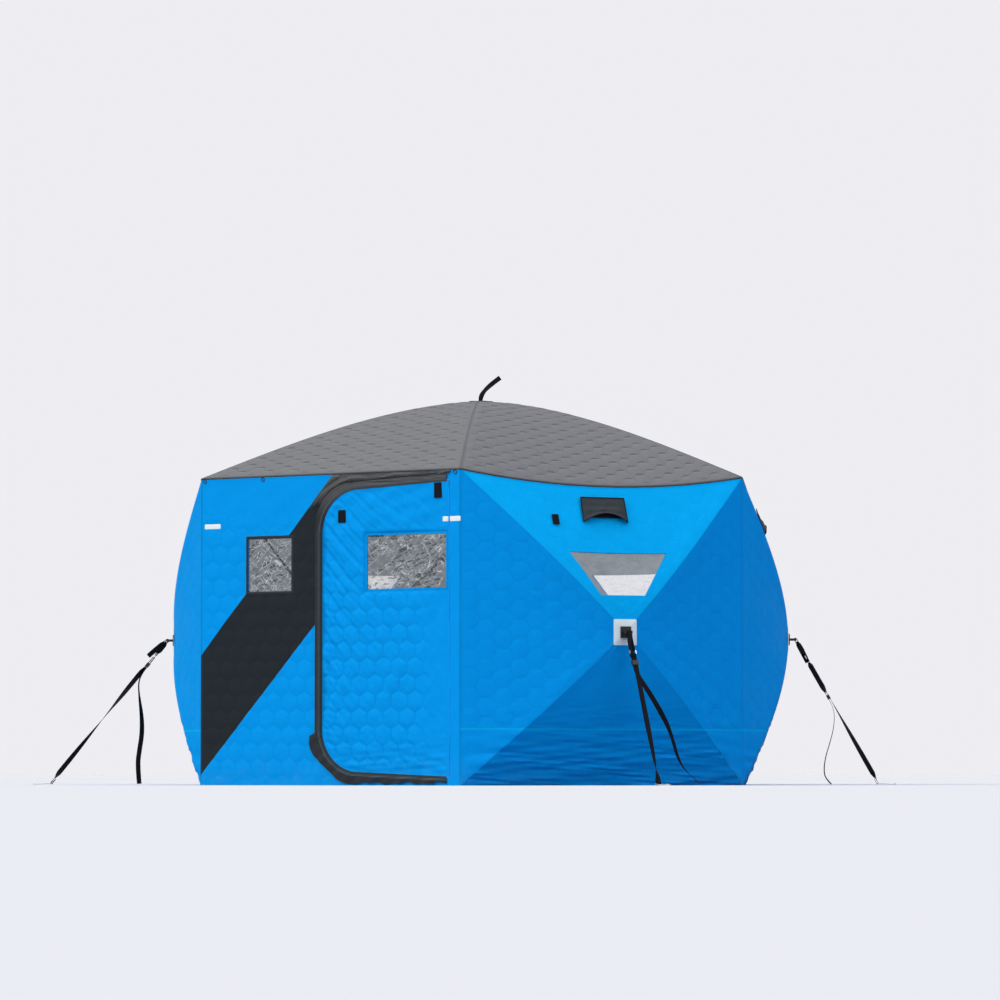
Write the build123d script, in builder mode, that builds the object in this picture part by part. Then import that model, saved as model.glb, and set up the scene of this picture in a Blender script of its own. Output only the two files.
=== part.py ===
from build123d import *
from math import cos, radians, sin, tan
import os

os.makedirs("parts", exist_ok=True)

# Six-sided pop-up ice fishing hut: one flat door wall and five walls that bow out to a hub.
# The origin is the middle of the door wall's foot on the ice, in the middle of its cloth.
# The door wall faces -Y and +Z is up.
# Each wall is drawn in its own frame: x to the right seen from outside, y up, z outward.

# Driving dimensions, in millimetres: the shell
SIDE = 1606.0
EAVE_HEIGHT = 1577.0
APEX_HEIGHT = 2030.0
HUB_HEIGHT = 764.0
HUB_BULGE = 233.5
FABRIC = 8.0
SKIRT_HEIGHT = 280.0
EAVE_DROP = 69.0
EAVE_BULGE = 30.0
GORE_HOLLOW = 10.0
RIB_TAPER = 100.0
HUB_OPENING = 40.0
ROOF_OPENING = 52.5
FIT = 0.3

# Door, its storm flap and its hinge
HINGE_INSET = 68.0
DOOR_WIDTH = 782.0
DOOR_DROP_LEFT = 90.0
DOOR_DROP_RIGHT = 53.0
DOOR_BOTTOM_LEFT = 68.0
DOOR_BOTTOM_RIGHT = 36.0
DOOR_CORNER = 230.0
DOOR_GAP = 5.0
HINGE_GAP = 1.0
PIPING_RADIUS = 3.0
FLAP_STANDOFF = 5.0
FLAP_THICKNESS = 2.5
FLAP_WEB = 3.0
FLAP_REACH = 32.0
FLAP_FLARE = 64.0
FLAP_FLARE_TOP = 263.0
FLAP_STEP = 13.0
FLAP_CORNER = 225.0
FLAP_TOP_REACH = 30.0
FLAP_GROUND_GAP = 8.0
FLAP_HINGE_GAP = 14.0

# Charcoal stripe and header of the door wall
STRIPE_OVER_DOOR = 74.0
STRIPE_SLOPE = 1.09
STRIPE_FOOT = 48.0
STRIPE_FOOT_SLOPE = 1.062
HEADER_INSET = 57.0
HEADER_OVERLAP = 45.0

# Windows
PANE = 2.0
WINDOW_DROP = 232.0
WINDOW_HEIGHT = 270.0
SIDE_WINDOW_WIDTH = 270.0
SIDE_WINDOW_GAP = 184.0
WINDOW_BORDER = 15.0
BORDER_THICKNESS = 2.5
DOOR_WINDOW_WIDTH = 478.0
DOOR_WINDOW_MARGIN = 19.0
HUB_WINDOW_TOP = 546.0
HUB_WINDOW_BOTTOM = 250.0
HUB_WINDOW_RISE = 186.0
HUB_WINDOW_DROP = 147.0

# Vent in each hub wall, and its scoop
VENT_SHIFT = 43.0
VENT_DROP = 133.0
VENT_WIDTH = 246.0
VENT_HEIGHT = 126.0
VENT_ARCH = 48.0
VENT_SCOOP = 26.0
VENT_CLOTH = 2.0
VENT_HEM = 12.0
VENT_SLOT_WIDTH = 150.0
VENT_SLOT_HEIGHT = 45.0
VENT_SLOT_RISE = 10.0

# Small sewn pieces
TAB_WIDTH = 37.0
TAB_HEIGHT = 52.0
TAB_GAP = 281.0
TAB_DROP = 249.0
DOOR_TAB_WIDTH = 46.0
DOOR_TAB_HEIGHT = 64.0
DOOR_TAB_INSET = 130.0
DOOR_TAB_DROP = 131.0
HANGING_TAB_WIDTH = 44.0
HANGING_TAB_HEIGHT = 76.0
HANGING_TAB_INSET = 67.0
HANGING_TAB_DROP = 53.0
TAB_THICKNESS = 2.0
REFLECTOR_WIDTH = 100.0
REFLECTOR_HEIGHT = 25.0
REFLECTOR_INSET = 74.0
REFLECTOR_DROP = 251.0
REFLECTOR_THICKNESS = 1.0
LEFT_RING_INSET = 23.0
MIDDLE_RING_INSET = 392.0
RIGHT_RING_INSET = 33.0
EAVE_RING_RADIUS = 11.0
EAVE_RING_WIRE = 3.0
EAVE_RING_BELOW = 10.0

# Hub, poles and their boots
HUB_RADIUS = 36.0
HUB_DEPTH = 30.0
HUB_PLATE = 7.0
PIN_RADIUS = 2.5
PIN_LENGTH = 24.0
KNUCKLE_WIDTH = 14.0
KNUCKLE_RADIUS = 6.0
KNUCKLE_LENGTH = 26.0
KNUCKLE_ROOM = 1.5
PATCH_SIDE = 130.0
PATCH_THICKNESS = 2.5
PLATE_SIDE = 58.0
PLATE_THICKNESS = 6.0
POLE_RADIUS = 5.5
POLE_CLEARANCE = 1.5
POLE_STATIONS = (0.02, 0.3, 0.62, 0.98)
ROOF_POLE_DROP = 16.0
WALL_POLE_DRAW = 9.5
BOOT_RADIUS = 16.0
BOOT_HEIGHT = 45.0
EAVE_BOOT_DROP = 6.0
ROOF_HUB_RADIUS = 44.0
CAP_RADIUS = 66.0
CAP_THICKNESS = 2.5

# Guy straps, from the hub's bracket to the ice anchor
WEBBING = 25.0
WEBBING_THICKNESS = 2.0
BAR = 4.0
BRACKET_REACH = 30.0
BRACKET_ARM = 4.0
BRACKET_DEPTH = 12.0
WEBBING_PLAY = 1.0
PULL_LENGTH = 98.0
RING_WIDTH = 38.0
RING_LENGTH = 24.0
SLIDE_DISTANCE = 50.0
REAR_RIGHT_SLIDE = 230.0
SLIDE_LENGTH = 24.0
SLIDE_WIDTH = 34.0
SLIDE_WALL = 3.0
SEWN_RETURN = 60.0
ANCHOR_LENGTH = 92.0
ANCHOR_WIDTH = 64.0
ANCHOR_BAR_HEIGHT = 8.0
ANCHOR_STEM = 5.0
FRONT_RIGHT_REACH = 580.0
REAR_RIGHT_REACH = 700.0
REAR_REACH = 720.0
REAR_LEFT_REACH = 760.0
FRONT_LEFT_REACH = 890.0

# Loose tails of the straps. Each leaves its slide in line with the strap, for the length of the
# lead, and its next points are given from its start: to the wall's right, outward and up
TAIL_LEAD = 45.0
TAIL_ROUTE = {
    1: (
        (26, 46, -96), (76, 50, -168), (118, 50, -232), (158, 50, -300),
        (188, 52, -380), (210, 56, -460), (246, 74, -530), (310, 100, -584),
    ),
    2: (
        (0, 30, -92), (0, 23, -160), (0, 4, -230), (0, -18, -300),
        (0, -28, -366), (0, -20, -416), (0, 12, -445),
    ),
    3: (
        (0, 42, -92), (6, 38, -180), (10, 28, -280), (4, 24, -380),
        (0, 36, -470), (8, 44, -546), (30, 34, -600),
    ),
    4: (
        (0, 44, -92), (-6, 38, -180), (-8, 26, -280), (-2, 26, -380),
        (4, 38, -470), (-4, 46, -546), (-28, 36, -602),
    ),
    5: (
        (0, 46, -86), (0, 38, -170), (0, 26, -260), (0, 24, -350),
        (0, 38, -440), (0, 48, -516), (0, 38, -617),
    ),
}

# Strap that stands on the roof hub
ROOF_STRAP_ROUTE = ((0, 0), (0, 34), (26, 70), (104, 126))
ROOF_STRAP_BEARING = 33.5

HALF = SIDE / 2
APOTHEM = SIDE * cos(radians(30))
RIB_BOW = APEX_HEIGHT - EAVE_HEIGHT - RIB_TAPER
WALL_TOP = EAVE_HEIGHT - FABRIC - FIT
DOOR_WALL = 0
HUB_WALLS = {1: "front_right", 2: "rear_right", 3: "rear", 4: "rear_left", 5: "front_left"}
WALL_NAMES = {DOOR_WALL: "front", **HUB_WALLS}
SLIDE_DISTANCES = {wall: SLIDE_DISTANCE for wall in HUB_WALLS}
SLIDE_DISTANCES[2] = REAR_RIGHT_SLIDE
ANCHOR_REACH = dict(
    zip(HUB_WALLS, (FRONT_RIGHT_REACH, REAR_RIGHT_REACH, REAR_REACH, REAR_LEFT_REACH, FRONT_LEFT_REACH))
)
centre = Vector(0, APOTHEM - FABRIC / 2, 0)
vertical_axis = Axis(tuple(centre), (0, 0, 1))

hinge_x = HALF - HINGE_INSET
door_left = hinge_x - DOOR_WIDTH
door_top_left = EAVE_HEIGHT - DOOR_DROP_LEFT
door_top_right = EAVE_HEIGHT - DOOR_DROP_RIGHT
window_y = door_top_left - WINDOW_DROP - WINDOW_HEIGHT / 2
side_window_x = door_left - SIDE_WINDOW_GAP - SIDE_WINDOW_WIDTH / 2
door_window_x = hinge_x - DOOR_WINDOW_MARGIN - DOOR_WINDOW_WIDTH / 2
stripe_top_x = door_left + STRIPE_OVER_DOOR
vent_top = EAVE_HEIGHT - VENT_DROP
vent_bottom = vent_top - VENT_HEIGHT


def wall_plane(wall):
    """Frame of a wall, counted anticlockwise from the door wall, seen from above."""
    angle = radians(60 * wall)
    outward = Vector(sin(angle), -cos(angle), 0)
    right = Vector(cos(angle), sin(angle), 0)
    return Plane(origin=centre + outward * APOTHEM, x_dir=right, z_dir=outward)


def on_each_hub_wall(piece):
    """Adds a copy of a piece, drawn in a wall's frame, on every hub wall."""
    with Locations(*[wall_plane(wall).location for wall in HUB_WALLS]):
        add(piece)


def bow(u):
    """Share of the hub's bulge left at u, from the hub to the wall's edge."""
    return 1 - (3 * u**2 - u**3) / 2


def patch(surface, start):
    """Curved face of a surface that is cubic in u, from start to 1, and quadratic in v."""
    across = []
    for v in (0, 0.5, 1):
        p0, p1, p2, p3 = (surface(start + (1 - start) * i / 3, v) for i in range(4))
        inner_1 = (p0 * -5 + p1 * 18 - p2 * 9 + p3 * 2) / 6
        inner_2 = (p0 * 2 - p1 * 9 + p2 * 18 - p3 * 5) / 6
        across.append((p0, inner_1, inner_2, p3))
    rows = [[q0, (q1 * 4 - q0 - q2) / 2, q2] for q0, q1, q2 in zip(*across)]
    return Face.make_bezier_surface(rows)


def side_gore(u, v, sign):
    """Point of a wall's left or right gore, from its hub to its upright corner seam."""
    hollow = GORE_HOLLOW * 16 * u * (1 - u) * v * (1 - v)
    return Vector(sign * HALF * u, HUB_HEIGHT * (1 - u) + WALL_TOP * u * v, HUB_BULGE * bow(u) - hollow)


def left_gore(u, v):
    return side_gore(u, v, -1)


def right_gore(u, v):
    return side_gore(u, v, 1)


def top_gore(u, v, inset=0.0):
    """Point of a wall's upper gore, whose upper edge hangs in the sagging eave."""
    crown = 4 * v * (1 - v)
    hollow = GORE_HOLLOW * 4 * u * (1 - u) * crown
    height = HUB_HEIGHT + u * (WALL_TOP - HUB_HEIGHT) - EAVE_DROP * u**3 * crown
    out = HUB_BULGE * bow(u) + EAVE_BULGE * u**3 * crown - hollow - inset
    return Vector(HALF * u * (2 * v - 1), height, out)


def inner_top_gore(u, v):
    """Point of the clear pane's outside, in the middle of the upper gore's thickness."""
    return top_gore(u, v, (FABRIC - PANE) / 2)


def bottom_gore(u, v):
    """Point of a wall's lower gore, which ends in the straight skirt hem on the ice."""
    hollow = GORE_HOLLOW * 16 * u * (1 - u) * v * (1 - v)
    return Vector(HALF * u * (2 * v - 1), HUB_HEIGHT * (1 - u), HUB_BULGE * bow(u) - hollow)


def rib_height(u):
    """Height of the roof's outside along a rib, from the apex to the eave corner."""
    return APEX_HEIGHT - RIB_TAPER * u - RIB_BOW * (3 * u**2 - u**3) / 2


def roof_gore(u, v, drop, bulge):
    """Point of a roof gore in its wall's frame, with its eave edge sagging by drop."""
    crown = 4 * v * (1 - v) * u**3
    return Vector(HALF * u * (2 * v - 1), rib_height(u) - drop * crown, APOTHEM * (u - 1) + bulge * crown)


def straight_roof_gore(u, v):
    return roof_gore(u, v, 0, 0)


def sagging_roof_gore(u, v):
    return roof_gore(u, v, EAVE_DROP, EAVE_BULGE)


def tangent_radii(points):
    """Radius of the arc at each inner point, from the shorter of its two runs."""
    radii = []
    for before, here, after in zip(points, points[1:], points[2:]):
        turn = (here - before).get_angle(after - here)
        shorter = min((here - before).length, (after - here).length)
        radii.append(0.45 * shorter / tan(radians(turn / 2)))
    return radii


# Sector that a wall may fill, so that neighbours meet on the mitre between them
with BuildPart() as sector:
    with BuildSketch(Plane(origin=(0, -FABRIC, -APOTHEM), x_dir=(1, 0, 0), z_dir=(0, 1, 0))):
        reach = APOTHEM + 2 * HUB_BULGE
        Polygon((0, 0), (-reach * tan(radians(30)), -reach), (reach * tan(radians(30)), -reach), align=None)
    extrude(amount=APEX_HEIGHT)

# Hub wall: four gores sewn along the diagonals, with a window and a vent slot
with BuildPart() as hub_wall:
    for gore in (left_gore, right_gore, top_gore, bottom_gore):
        extrude(patch(gore, HUB_OPENING / HALF), amount=FABRIC, dir=(0, 0, -1))
    add(sector.part, mode=Mode.INTERSECT)
    with BuildSketch(Plane.XY) as hub_window:
        Polygon(
            (-HUB_WINDOW_TOP / 2, vent_bottom - HUB_WINDOW_DROP),
            (-HUB_WINDOW_BOTTOM / 2, HUB_HEIGHT + HUB_WINDOW_RISE),
            (HUB_WINDOW_BOTTOM / 2, HUB_HEIGHT + HUB_WINDOW_RISE),
            (HUB_WINDOW_TOP / 2, vent_bottom - HUB_WINDOW_DROP),
            align=None,
        )
    extrude(amount=HUB_BULGE, mode=Mode.SUBTRACT)
    with BuildSketch(Plane.XY):
        with Locations((-VENT_SHIFT, (vent_top + vent_bottom) / 2 + VENT_SLOT_RISE)):
            Rectangle(VENT_SLOT_WIDTH, VENT_SLOT_HEIGHT)
    extrude(amount=HUB_BULGE, mode=Mode.SUBTRACT)

skirt_seam = Plane(origin=(0, SKIRT_HEIGHT, 0), x_dir=(1, 0, 0), z_dir=(0, 1, 0))
with BuildPart() as upper_wall:
    add(hub_wall.part)
    split(bisect_by=skirt_seam, keep=Keep.TOP)
with BuildPart() as skirt:
    add(hub_wall.part)
    split(bisect_by=skirt_seam, keep=Keep.BOTTOM)

for wall, name in HUB_WALLS.items():
    with BuildPart() as wall_cloth:
        with Locations(wall_plane(wall).location):
            add(upper_wall.part)
    wall_cloth.part.label = f"wall_{name}"
    export_step(wall_cloth.part, f"parts/wall_{name}.step")
    with BuildPart() as skirt_cloth:
        with Locations(wall_plane(wall).location):
            add(skirt.part)
    skirt_cloth.part.label = f"skirt_{name}"
    export_step(skirt_cloth.part, f"parts/skirt_{name}.step")

# Clear panes of the hub walls, which follow the upper gore
with BuildPart() as hub_pane:
    extrude(patch(inner_top_gore, HUB_OPENING / HALF), amount=PANE, dir=(0, 0, -1))
    with BuildSketch(Plane.XY):
        add(hub_window.sketch)
        offset(amount=-FIT, mode=Mode.REPLACE)
    extrude(amount=HUB_BULGE, mode=Mode.INTERSECT)
with BuildPart() as wall_windows:
    on_each_hub_wall(hub_pane.part)
wall_windows.part.label = "wall_windows"
export_step(wall_windows.part, "parts/wall_windows.step")

# Roof panels
for wall, name in WALL_NAMES.items():
    gore = straight_roof_gore if wall == DOOR_WALL else sagging_roof_gore
    with BuildPart() as roof_panel:
        with Locations(wall_plane(wall).location):
            add(Solid.extrude(patch(gore, ROOF_OPENING / SIDE), Vector(0, -FABRIC, 0)))
    roof_panel.part.label = f"roof_panel_{name}"
    export_step(roof_panel.part, f"parts/roof_panel_{name}.step")

# Door wall: sewn fields round the doorway, all in one flat plane
door_plane = wall_plane(DOOR_WALL)
with BuildSketch(Plane.XY) as doorway:
    with BuildLine():
        Polyline(
            (hinge_x, DOOR_BOTTOM_RIGHT),
            (hinge_x, door_top_right),
            (door_left, door_top_left),
            (door_left, DOOR_BOTTOM_LEFT),
            close=True,
        )
    make_face()
    fillet(doorway.vertices().group_by(Axis.X)[0], radius=DOOR_CORNER)
with BuildSketch(Plane.XY) as side_opening:
    with Locations((side_window_x, window_y)):
        Rectangle(SIDE_WINDOW_WIDTH, WINDOW_HEIGHT)


def stripe_top(x):
    """Height of the stripe's upper edge."""
    return WALL_TOP + (x - stripe_top_x) * STRIPE_SLOPE


def stripe_foot(x):
    """Height of the stripe's lower edge."""
    return STRIPE_FOOT + (x + HALF) * STRIPE_FOOT_SLOPE


FIELDS = {
    "door_wall_left": ((-HALF, WALL_TOP), (-HALF, stripe_top(-HALF)), (stripe_top_x, WALL_TOP)),
    "door_wall_stripe": (
        (-HALF, stripe_top(-HALF)),
        (-HALF, stripe_foot(-HALF)),
        (door_left, stripe_foot(door_left)),
        (door_left, door_top_left - DOOR_CORNER),
        (door_left + DOOR_CORNER, door_top_left - DOOR_CORNER),
        (door_left + DOOR_CORNER, WALL_TOP),
        (stripe_top_x, WALL_TOP),
    ),
    "door_wall_lower": (
        (-HALF, stripe_foot(-HALF)),
        (-HALF, 0),
        (door_left + DOOR_CORNER, 0),
        (door_left + DOOR_CORNER, DOOR_BOTTOM_LEFT + DOOR_CORNER),
        (door_left, DOOR_BOTTOM_LEFT + DOOR_CORNER),
        (door_left, stripe_foot(door_left)),
    ),
    "door_sill": (
        (door_left + DOOR_CORNER, 0),
        (hinge_x, 0),
        (hinge_x, DOOR_CORNER),
        (door_left + DOOR_CORNER, DOOR_CORNER),
    ),
    "door_header": (
        (door_left + DOOR_CORNER, WALL_TOP),
        (door_left + DOOR_CORNER, door_top_left - DOOR_CORNER),
        (hinge_x - HEADER_OVERLAP, door_top_left - DOOR_CORNER),
        (hinge_x - HEADER_OVERLAP, door_top_right),
        (HALF - HEADER_INSET, WALL_TOP),
    ),
    "door_jamb": (
        (HALF - HEADER_INSET, WALL_TOP),
        (hinge_x - HEADER_OVERLAP, door_top_right),
        (hinge_x - HEADER_OVERLAP, door_top_left),
        (hinge_x, door_top_left),
        (hinge_x, 0),
        (HALF, 0),
        (HALF, WALL_TOP),
    ),
}
piping_foot = DOOR_BOTTOM_RIGHT + DOOR_GAP
for name, outline in FIELDS.items():
    with BuildPart() as field:
        with BuildSketch(Plane.XY):
            Polygon(*outline, align=None)
            add(doorway.sketch, mode=Mode.SUBTRACT)
            add(side_opening.sketch, mode=Mode.SUBTRACT)
        extrude(amount=-FABRIC)
        add(sector.part, mode=Mode.INTERSECT)
        if name == "door_jamb":
            with BuildSketch(Plane(origin=(hinge_x, piping_foot, 0), x_dir=(1, 0, 0), z_dir=(0, 1, 0))):
                Circle(PIPING_RADIUS)
            extrude(amount=door_top_left - piping_foot)
    with BuildPart() as placed_field:
        with Locations(door_plane.location):
            add(field.part)
    placed_field.part.label = name
    export_step(placed_field.part, f"parts/{name}.step")

# Side window: clear pane in the wall's thickness and a black border sewn round it
with BuildPart() as side_window:
    with BuildSketch(door_plane.offset(-(FABRIC + PANE) / 2)):
        with Locations((side_window_x, window_y)):
            Rectangle(SIDE_WINDOW_WIDTH - 2 * FIT, WINDOW_HEIGHT - 2 * FIT)
    extrude(amount=PANE)
side_window.part.label = "side_window"
export_step(side_window.part, "parts/side_window.step")
with BuildPart() as side_window_border:
    with BuildSketch(door_plane):
        with Locations((side_window_x, window_y)):
            Rectangle(SIDE_WINDOW_WIDTH + 2 * WINDOW_BORDER, WINDOW_HEIGHT + 2 * WINDOW_BORDER)
            Rectangle(SIDE_WINDOW_WIDTH, WINDOW_HEIGHT, mode=Mode.SUBTRACT)
    extrude(amount=BORDER_THICKNESS)
side_window_border.part.label = "side_window_border"
export_step(side_window_border.part, "parts/side_window_border.step")

# Door panel, with the groove that turns round the hinge's piping
with BuildSketch(Plane.XY) as door_shape:
    with BuildLine():
        Polyline(
            (hinge_x - HINGE_GAP, DOOR_BOTTOM_RIGHT + DOOR_GAP),
            (hinge_x - HINGE_GAP, door_top_right - DOOR_GAP),
            (door_left + DOOR_GAP, door_top_left - DOOR_GAP),
            (door_left + DOOR_GAP, DOOR_BOTTOM_LEFT + DOOR_GAP),
            close=True,
        )
    make_face()
    fillet(door_shape.vertices().group_by(Axis.X)[0], radius=DOOR_CORNER - DOOR_GAP)
with BuildSketch(Plane.XY) as door_window_opening:
    with Locations((door_window_x, window_y)):
        Rectangle(DOOR_WINDOW_WIDTH, WINDOW_HEIGHT)
hinge_section = Plane(origin=(hinge_x, 0, 0), x_dir=(1, 0, 0), z_dir=(0, 1, 0))
with BuildPart() as door_body:
    with BuildSketch(Plane.XY):
        add(door_shape.sketch)
        add(door_window_opening.sketch, mode=Mode.SUBTRACT)
    extrude(amount=-FABRIC)
    with BuildSketch(hinge_section):
        Circle(PIPING_RADIUS + FIT)
    extrude(amount=door_top_right, mode=Mode.SUBTRACT)
with BuildPart() as door_panel:
    with Locations(door_plane.location):
        add(door_body.part)
door_panel.part.label = "door_panel"
export_step(door_panel.part, "parts/door_panel.step")

with BuildPart() as door_window:
    with BuildSketch(door_plane.offset(-(FABRIC + PANE) / 2)):
        with Locations((door_window_x, window_y)):
            Rectangle(DOOR_WINDOW_WIDTH - 2 * FIT, WINDOW_HEIGHT - 2 * FIT)
    extrude(amount=PANE)
door_window.part.label = "door_window"
export_step(door_window.part, "parts/door_window.step")

# Storm flap: a lip that stands off the wall and covers the zip, carried by a web on the door
flap_left = door_left - FLAP_REACH
flare_left = door_left - FLAP_FLARE
flap_right = hinge_x - FLAP_HINGE_GAP
with BuildSketch(door_plane) as flap_inside:
    add(door_shape.sketch)
    offset(amount=-FLAP_WEB, mode=Mode.REPLACE)
with BuildSketch(door_plane) as flap_side:
    with Locations((flap_right, 0)):
        Rectangle(SIDE, EAVE_HEIGHT, align=(Align.MAX, Align.MIN))
with BuildPart() as door_storm_flap:
    with BuildSketch(door_plane):
        add(door_shape.sketch)
        add(flap_inside.sketch, mode=Mode.SUBTRACT)
        add(flap_side.sketch, mode=Mode.INTERSECT)
    extrude(amount=FLAP_STANDOFF + FLAP_THICKNESS)
    with BuildSketch(door_plane.offset(FLAP_STANDOFF)) as lip:
        with BuildLine():
            Polyline(
                (hinge_x, door_top_right + FLAP_TOP_REACH),
                (flap_left, door_top_left + FLAP_TOP_REACH),
                (flap_left, FLAP_FLARE_TOP),
                (flare_left, FLAP_FLARE_TOP - FLAP_STEP),
                (flare_left, FLAP_GROUND_GAP),
                (hinge_x, FLAP_GROUND_GAP),
                close=True,
            )
        make_face()
        fillet(lip.vertices().sort_by_distance((flap_left, door_top_left))[0], radius=DOOR_CORNER)
        fillet(lip.vertices().sort_by_distance((flare_left, FLAP_GROUND_GAP))[0], radius=FLAP_CORNER)
        add(flap_inside.sketch, mode=Mode.SUBTRACT)
        add(flap_side.sketch, mode=Mode.INTERSECT)
    extrude(amount=FLAP_THICKNESS)
door_storm_flap.part.label = "door_storm_flap"
export_step(door_storm_flap.part, "parts/door_storm_flap.step")

with BuildPart() as door_tabs:
    with BuildSketch(door_plane):
        with Locations((door_left + DOOR_TAB_INSET, door_top_left - DOOR_TAB_DROP)):
            Rectangle(DOOR_TAB_WIDTH, DOOR_TAB_HEIGHT)
        with Locations((hinge_x - HANGING_TAB_INSET, door_top_right - HANGING_TAB_DROP)):
            Rectangle(HANGING_TAB_WIDTH, HANGING_TAB_HEIGHT)
    extrude(amount=TAB_THICKNESS)
door_tabs.part.label = "door_tabs"
export_step(door_tabs.part, "parts/door_tabs.step")

# Reflective strips: one at the left corner, one that runs from the door on to the jamb
jamb_strip = HALF - hinge_x - 2 * REFLECTOR_THICKNESS
reflector_y = EAVE_HEIGHT - REFLECTOR_DROP
with BuildPart() as reflectors:
    with BuildSketch(door_plane):
        with Locations((REFLECTOR_INSET - HALF, reflector_y)):
            Rectangle(REFLECTOR_WIDTH, REFLECTOR_HEIGHT)
        with Locations((HALF, reflector_y)):
            Rectangle(jamb_strip - PIPING_RADIUS, REFLECTOR_HEIGHT, align=(Align.MAX, Align.CENTER))
    extrude(amount=REFLECTOR_THICKNESS)
reflectors.part.label = "reflectors"
export_step(reflectors.part, "parts/reflectors.step")
with BuildPart() as door_reflector:
    with BuildSketch(door_plane):
        with Locations((hinge_x - PIPING_RADIUS - HINGE_GAP, reflector_y)):
            Rectangle(REFLECTOR_WIDTH - jamb_strip, REFLECTOR_HEIGHT, align=(Align.MAX, Align.CENTER))
    extrude(amount=REFLECTOR_THICKNESS)
door_reflector.part.label = "door_reflector"
export_step(door_reflector.part, "parts/door_reflector.step")

# Small rings under the door wall's eave
ring_xs = (LEFT_RING_INSET - HALF, MIDDLE_RING_INSET - HALF, HALF - RIGHT_RING_INSET)
with BuildPart() as eave_rings:
    with BuildSketch(door_plane):
        with Locations(*[(x, WALL_TOP - EAVE_RING_BELOW) for x in ring_xs]):
            Circle(EAVE_RING_RADIUS)
            Circle(EAVE_RING_RADIUS - EAVE_RING_WIRE, mode=Mode.SUBTRACT)
    extrude(amount=EAVE_RING_WIRE)
eave_rings.part.label = "eave_rings"
export_step(eave_rings.part, "parts/eave_rings.step")


def top_gore_point(x, height):
    """Point on the upper gore's outside at a given place in the wall's frame."""
    u = (height - HUB_HEIGHT) / (WALL_TOP - HUB_HEIGHT)
    for _ in range(12):
        v = (x / (HALF * u) + 1) / 2
        u += (height - top_gore(u, v).Y) / (WALL_TOP - HUB_HEIGHT)
    return top_gore(u, v)


def gore_plane(x, height, stand_off=FIT):
    """Plane that touches the upper gore's outside, with its normal outward."""
    step = TAB_WIDTH / 2
    centre = top_gore_point(x, height)
    along = top_gore_point(x + step, height) - top_gore_point(x - step, height)
    up = top_gore_point(x, height + step) - top_gore_point(x, height - step)
    normal = along.cross(up).normalized()
    return Plane(origin=centre + normal * stand_off, x_dir=along, z_dir=normal)


# Vent scoop: a cloth hood sewn on at its top and sides, with an arched open mouth below
half_width = VENT_WIDTH / 2
half_height = VENT_HEIGHT / 2
scoop_plane = gore_plane(-VENT_SHIFT, vent_bottom + half_height, 2 * FIT)
scoop_side = Plane(origin=scoop_plane.origin, x_dir=scoop_plane.y_dir, z_dir=scoop_plane.x_dir)
with BuildPart() as vent_hood:
    with BuildSketch(scoop_plane):
        with BuildLine():
            Polyline(
                (-half_width, -half_height),
                (-half_width, half_height),
                (half_width, half_height),
                (half_width, -half_height),
            )
            ThreePointArc(
                (half_width, -half_height),
                (0, VENT_ARCH - half_height),
                (-half_width, -half_height),
            )
        make_face()
    extrude(amount=VENT_SCOOP)
    with BuildSketch(scoop_side):
        with BuildLine():
            Polyline(
                (-half_height, 0),
                (half_height, 0),
                (half_height, VENT_CLOTH),
                (-half_height, VENT_SCOOP),
                close=True,
            )
        make_face()
    extrude(amount=half_width, both=True, mode=Mode.INTERSECT)
    with BuildSketch(scoop_side):
        with BuildLine():
            Polyline(
                (-VENT_HEIGHT, -FIT),
                (half_height - VENT_HEM, -FIT),
                (half_height - VENT_HEM, VENT_CLOTH),
                (-half_height, VENT_SCOOP - VENT_CLOTH),
                (-VENT_HEIGHT, VENT_SCOOP - VENT_CLOTH),
                close=True,
            )
        make_face()
    extrude(amount=half_width - VENT_CLOTH, both=True, mode=Mode.SUBTRACT)
with BuildPart() as vent_hoods:
    on_each_hub_wall(vent_hood.part)
vent_hoods.part.label = "vent_hoods"
export_step(vent_hoods.part, "parts/vent_hoods.step")

# Small black tab beside each vent
with BuildPart() as tab:
    with BuildSketch(gore_plane(-VENT_SHIFT - TAB_GAP, EAVE_HEIGHT - TAB_DROP)):
        Rectangle(TAB_WIDTH, TAB_HEIGHT)
    extrude(amount=TAB_THICKNESS)
with BuildPart() as wall_tabs:
    on_each_hub_wall(tab.part)
wall_tabs.part.label = "wall_tabs"
export_step(wall_tabs.part, "parts/wall_tabs.step")

# Bowed poles: straight runs joined by long arcs, from each hub to the corners of its wall.
# Each ends in a moulded knuckle that turns on a pin in a slot of the hub
pole_inset = FABRIC + POLE_RADIUS + POLE_CLEARANCE
eave_boot_foot = EAVE_HEIGHT - EAVE_BOOT_DROP - BOOT_HEIGHT


def pole_point(side, up, u):
    """Point on a wall pole's middle line, in the wall's frame."""
    end_height = eave_boot_foot + BOOT_HEIGHT / 2 if up else BOOT_HEIGHT / 2
    height = HUB_HEIGHT + u * (end_height - HUB_HEIGHT)
    return Vector(side * HALF * u, height, HUB_BULGE * bow(u) - pole_inset - WALL_POLE_DRAW * u**3)


def rod(points, radius):
    """Round rod along straight runs and the arcs that join them."""
    with BuildPart(mode=Mode.PRIVATE) as made:
        with BuildLine() as path:
            FilletPolyline(*points, radius=tangent_radii(points))
        with BuildSketch(Plane(origin=path.line @ 0, z_dir=path.line % 0)):
            Circle(radius)
        sweep(path=path.line)
    return made.part


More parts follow.
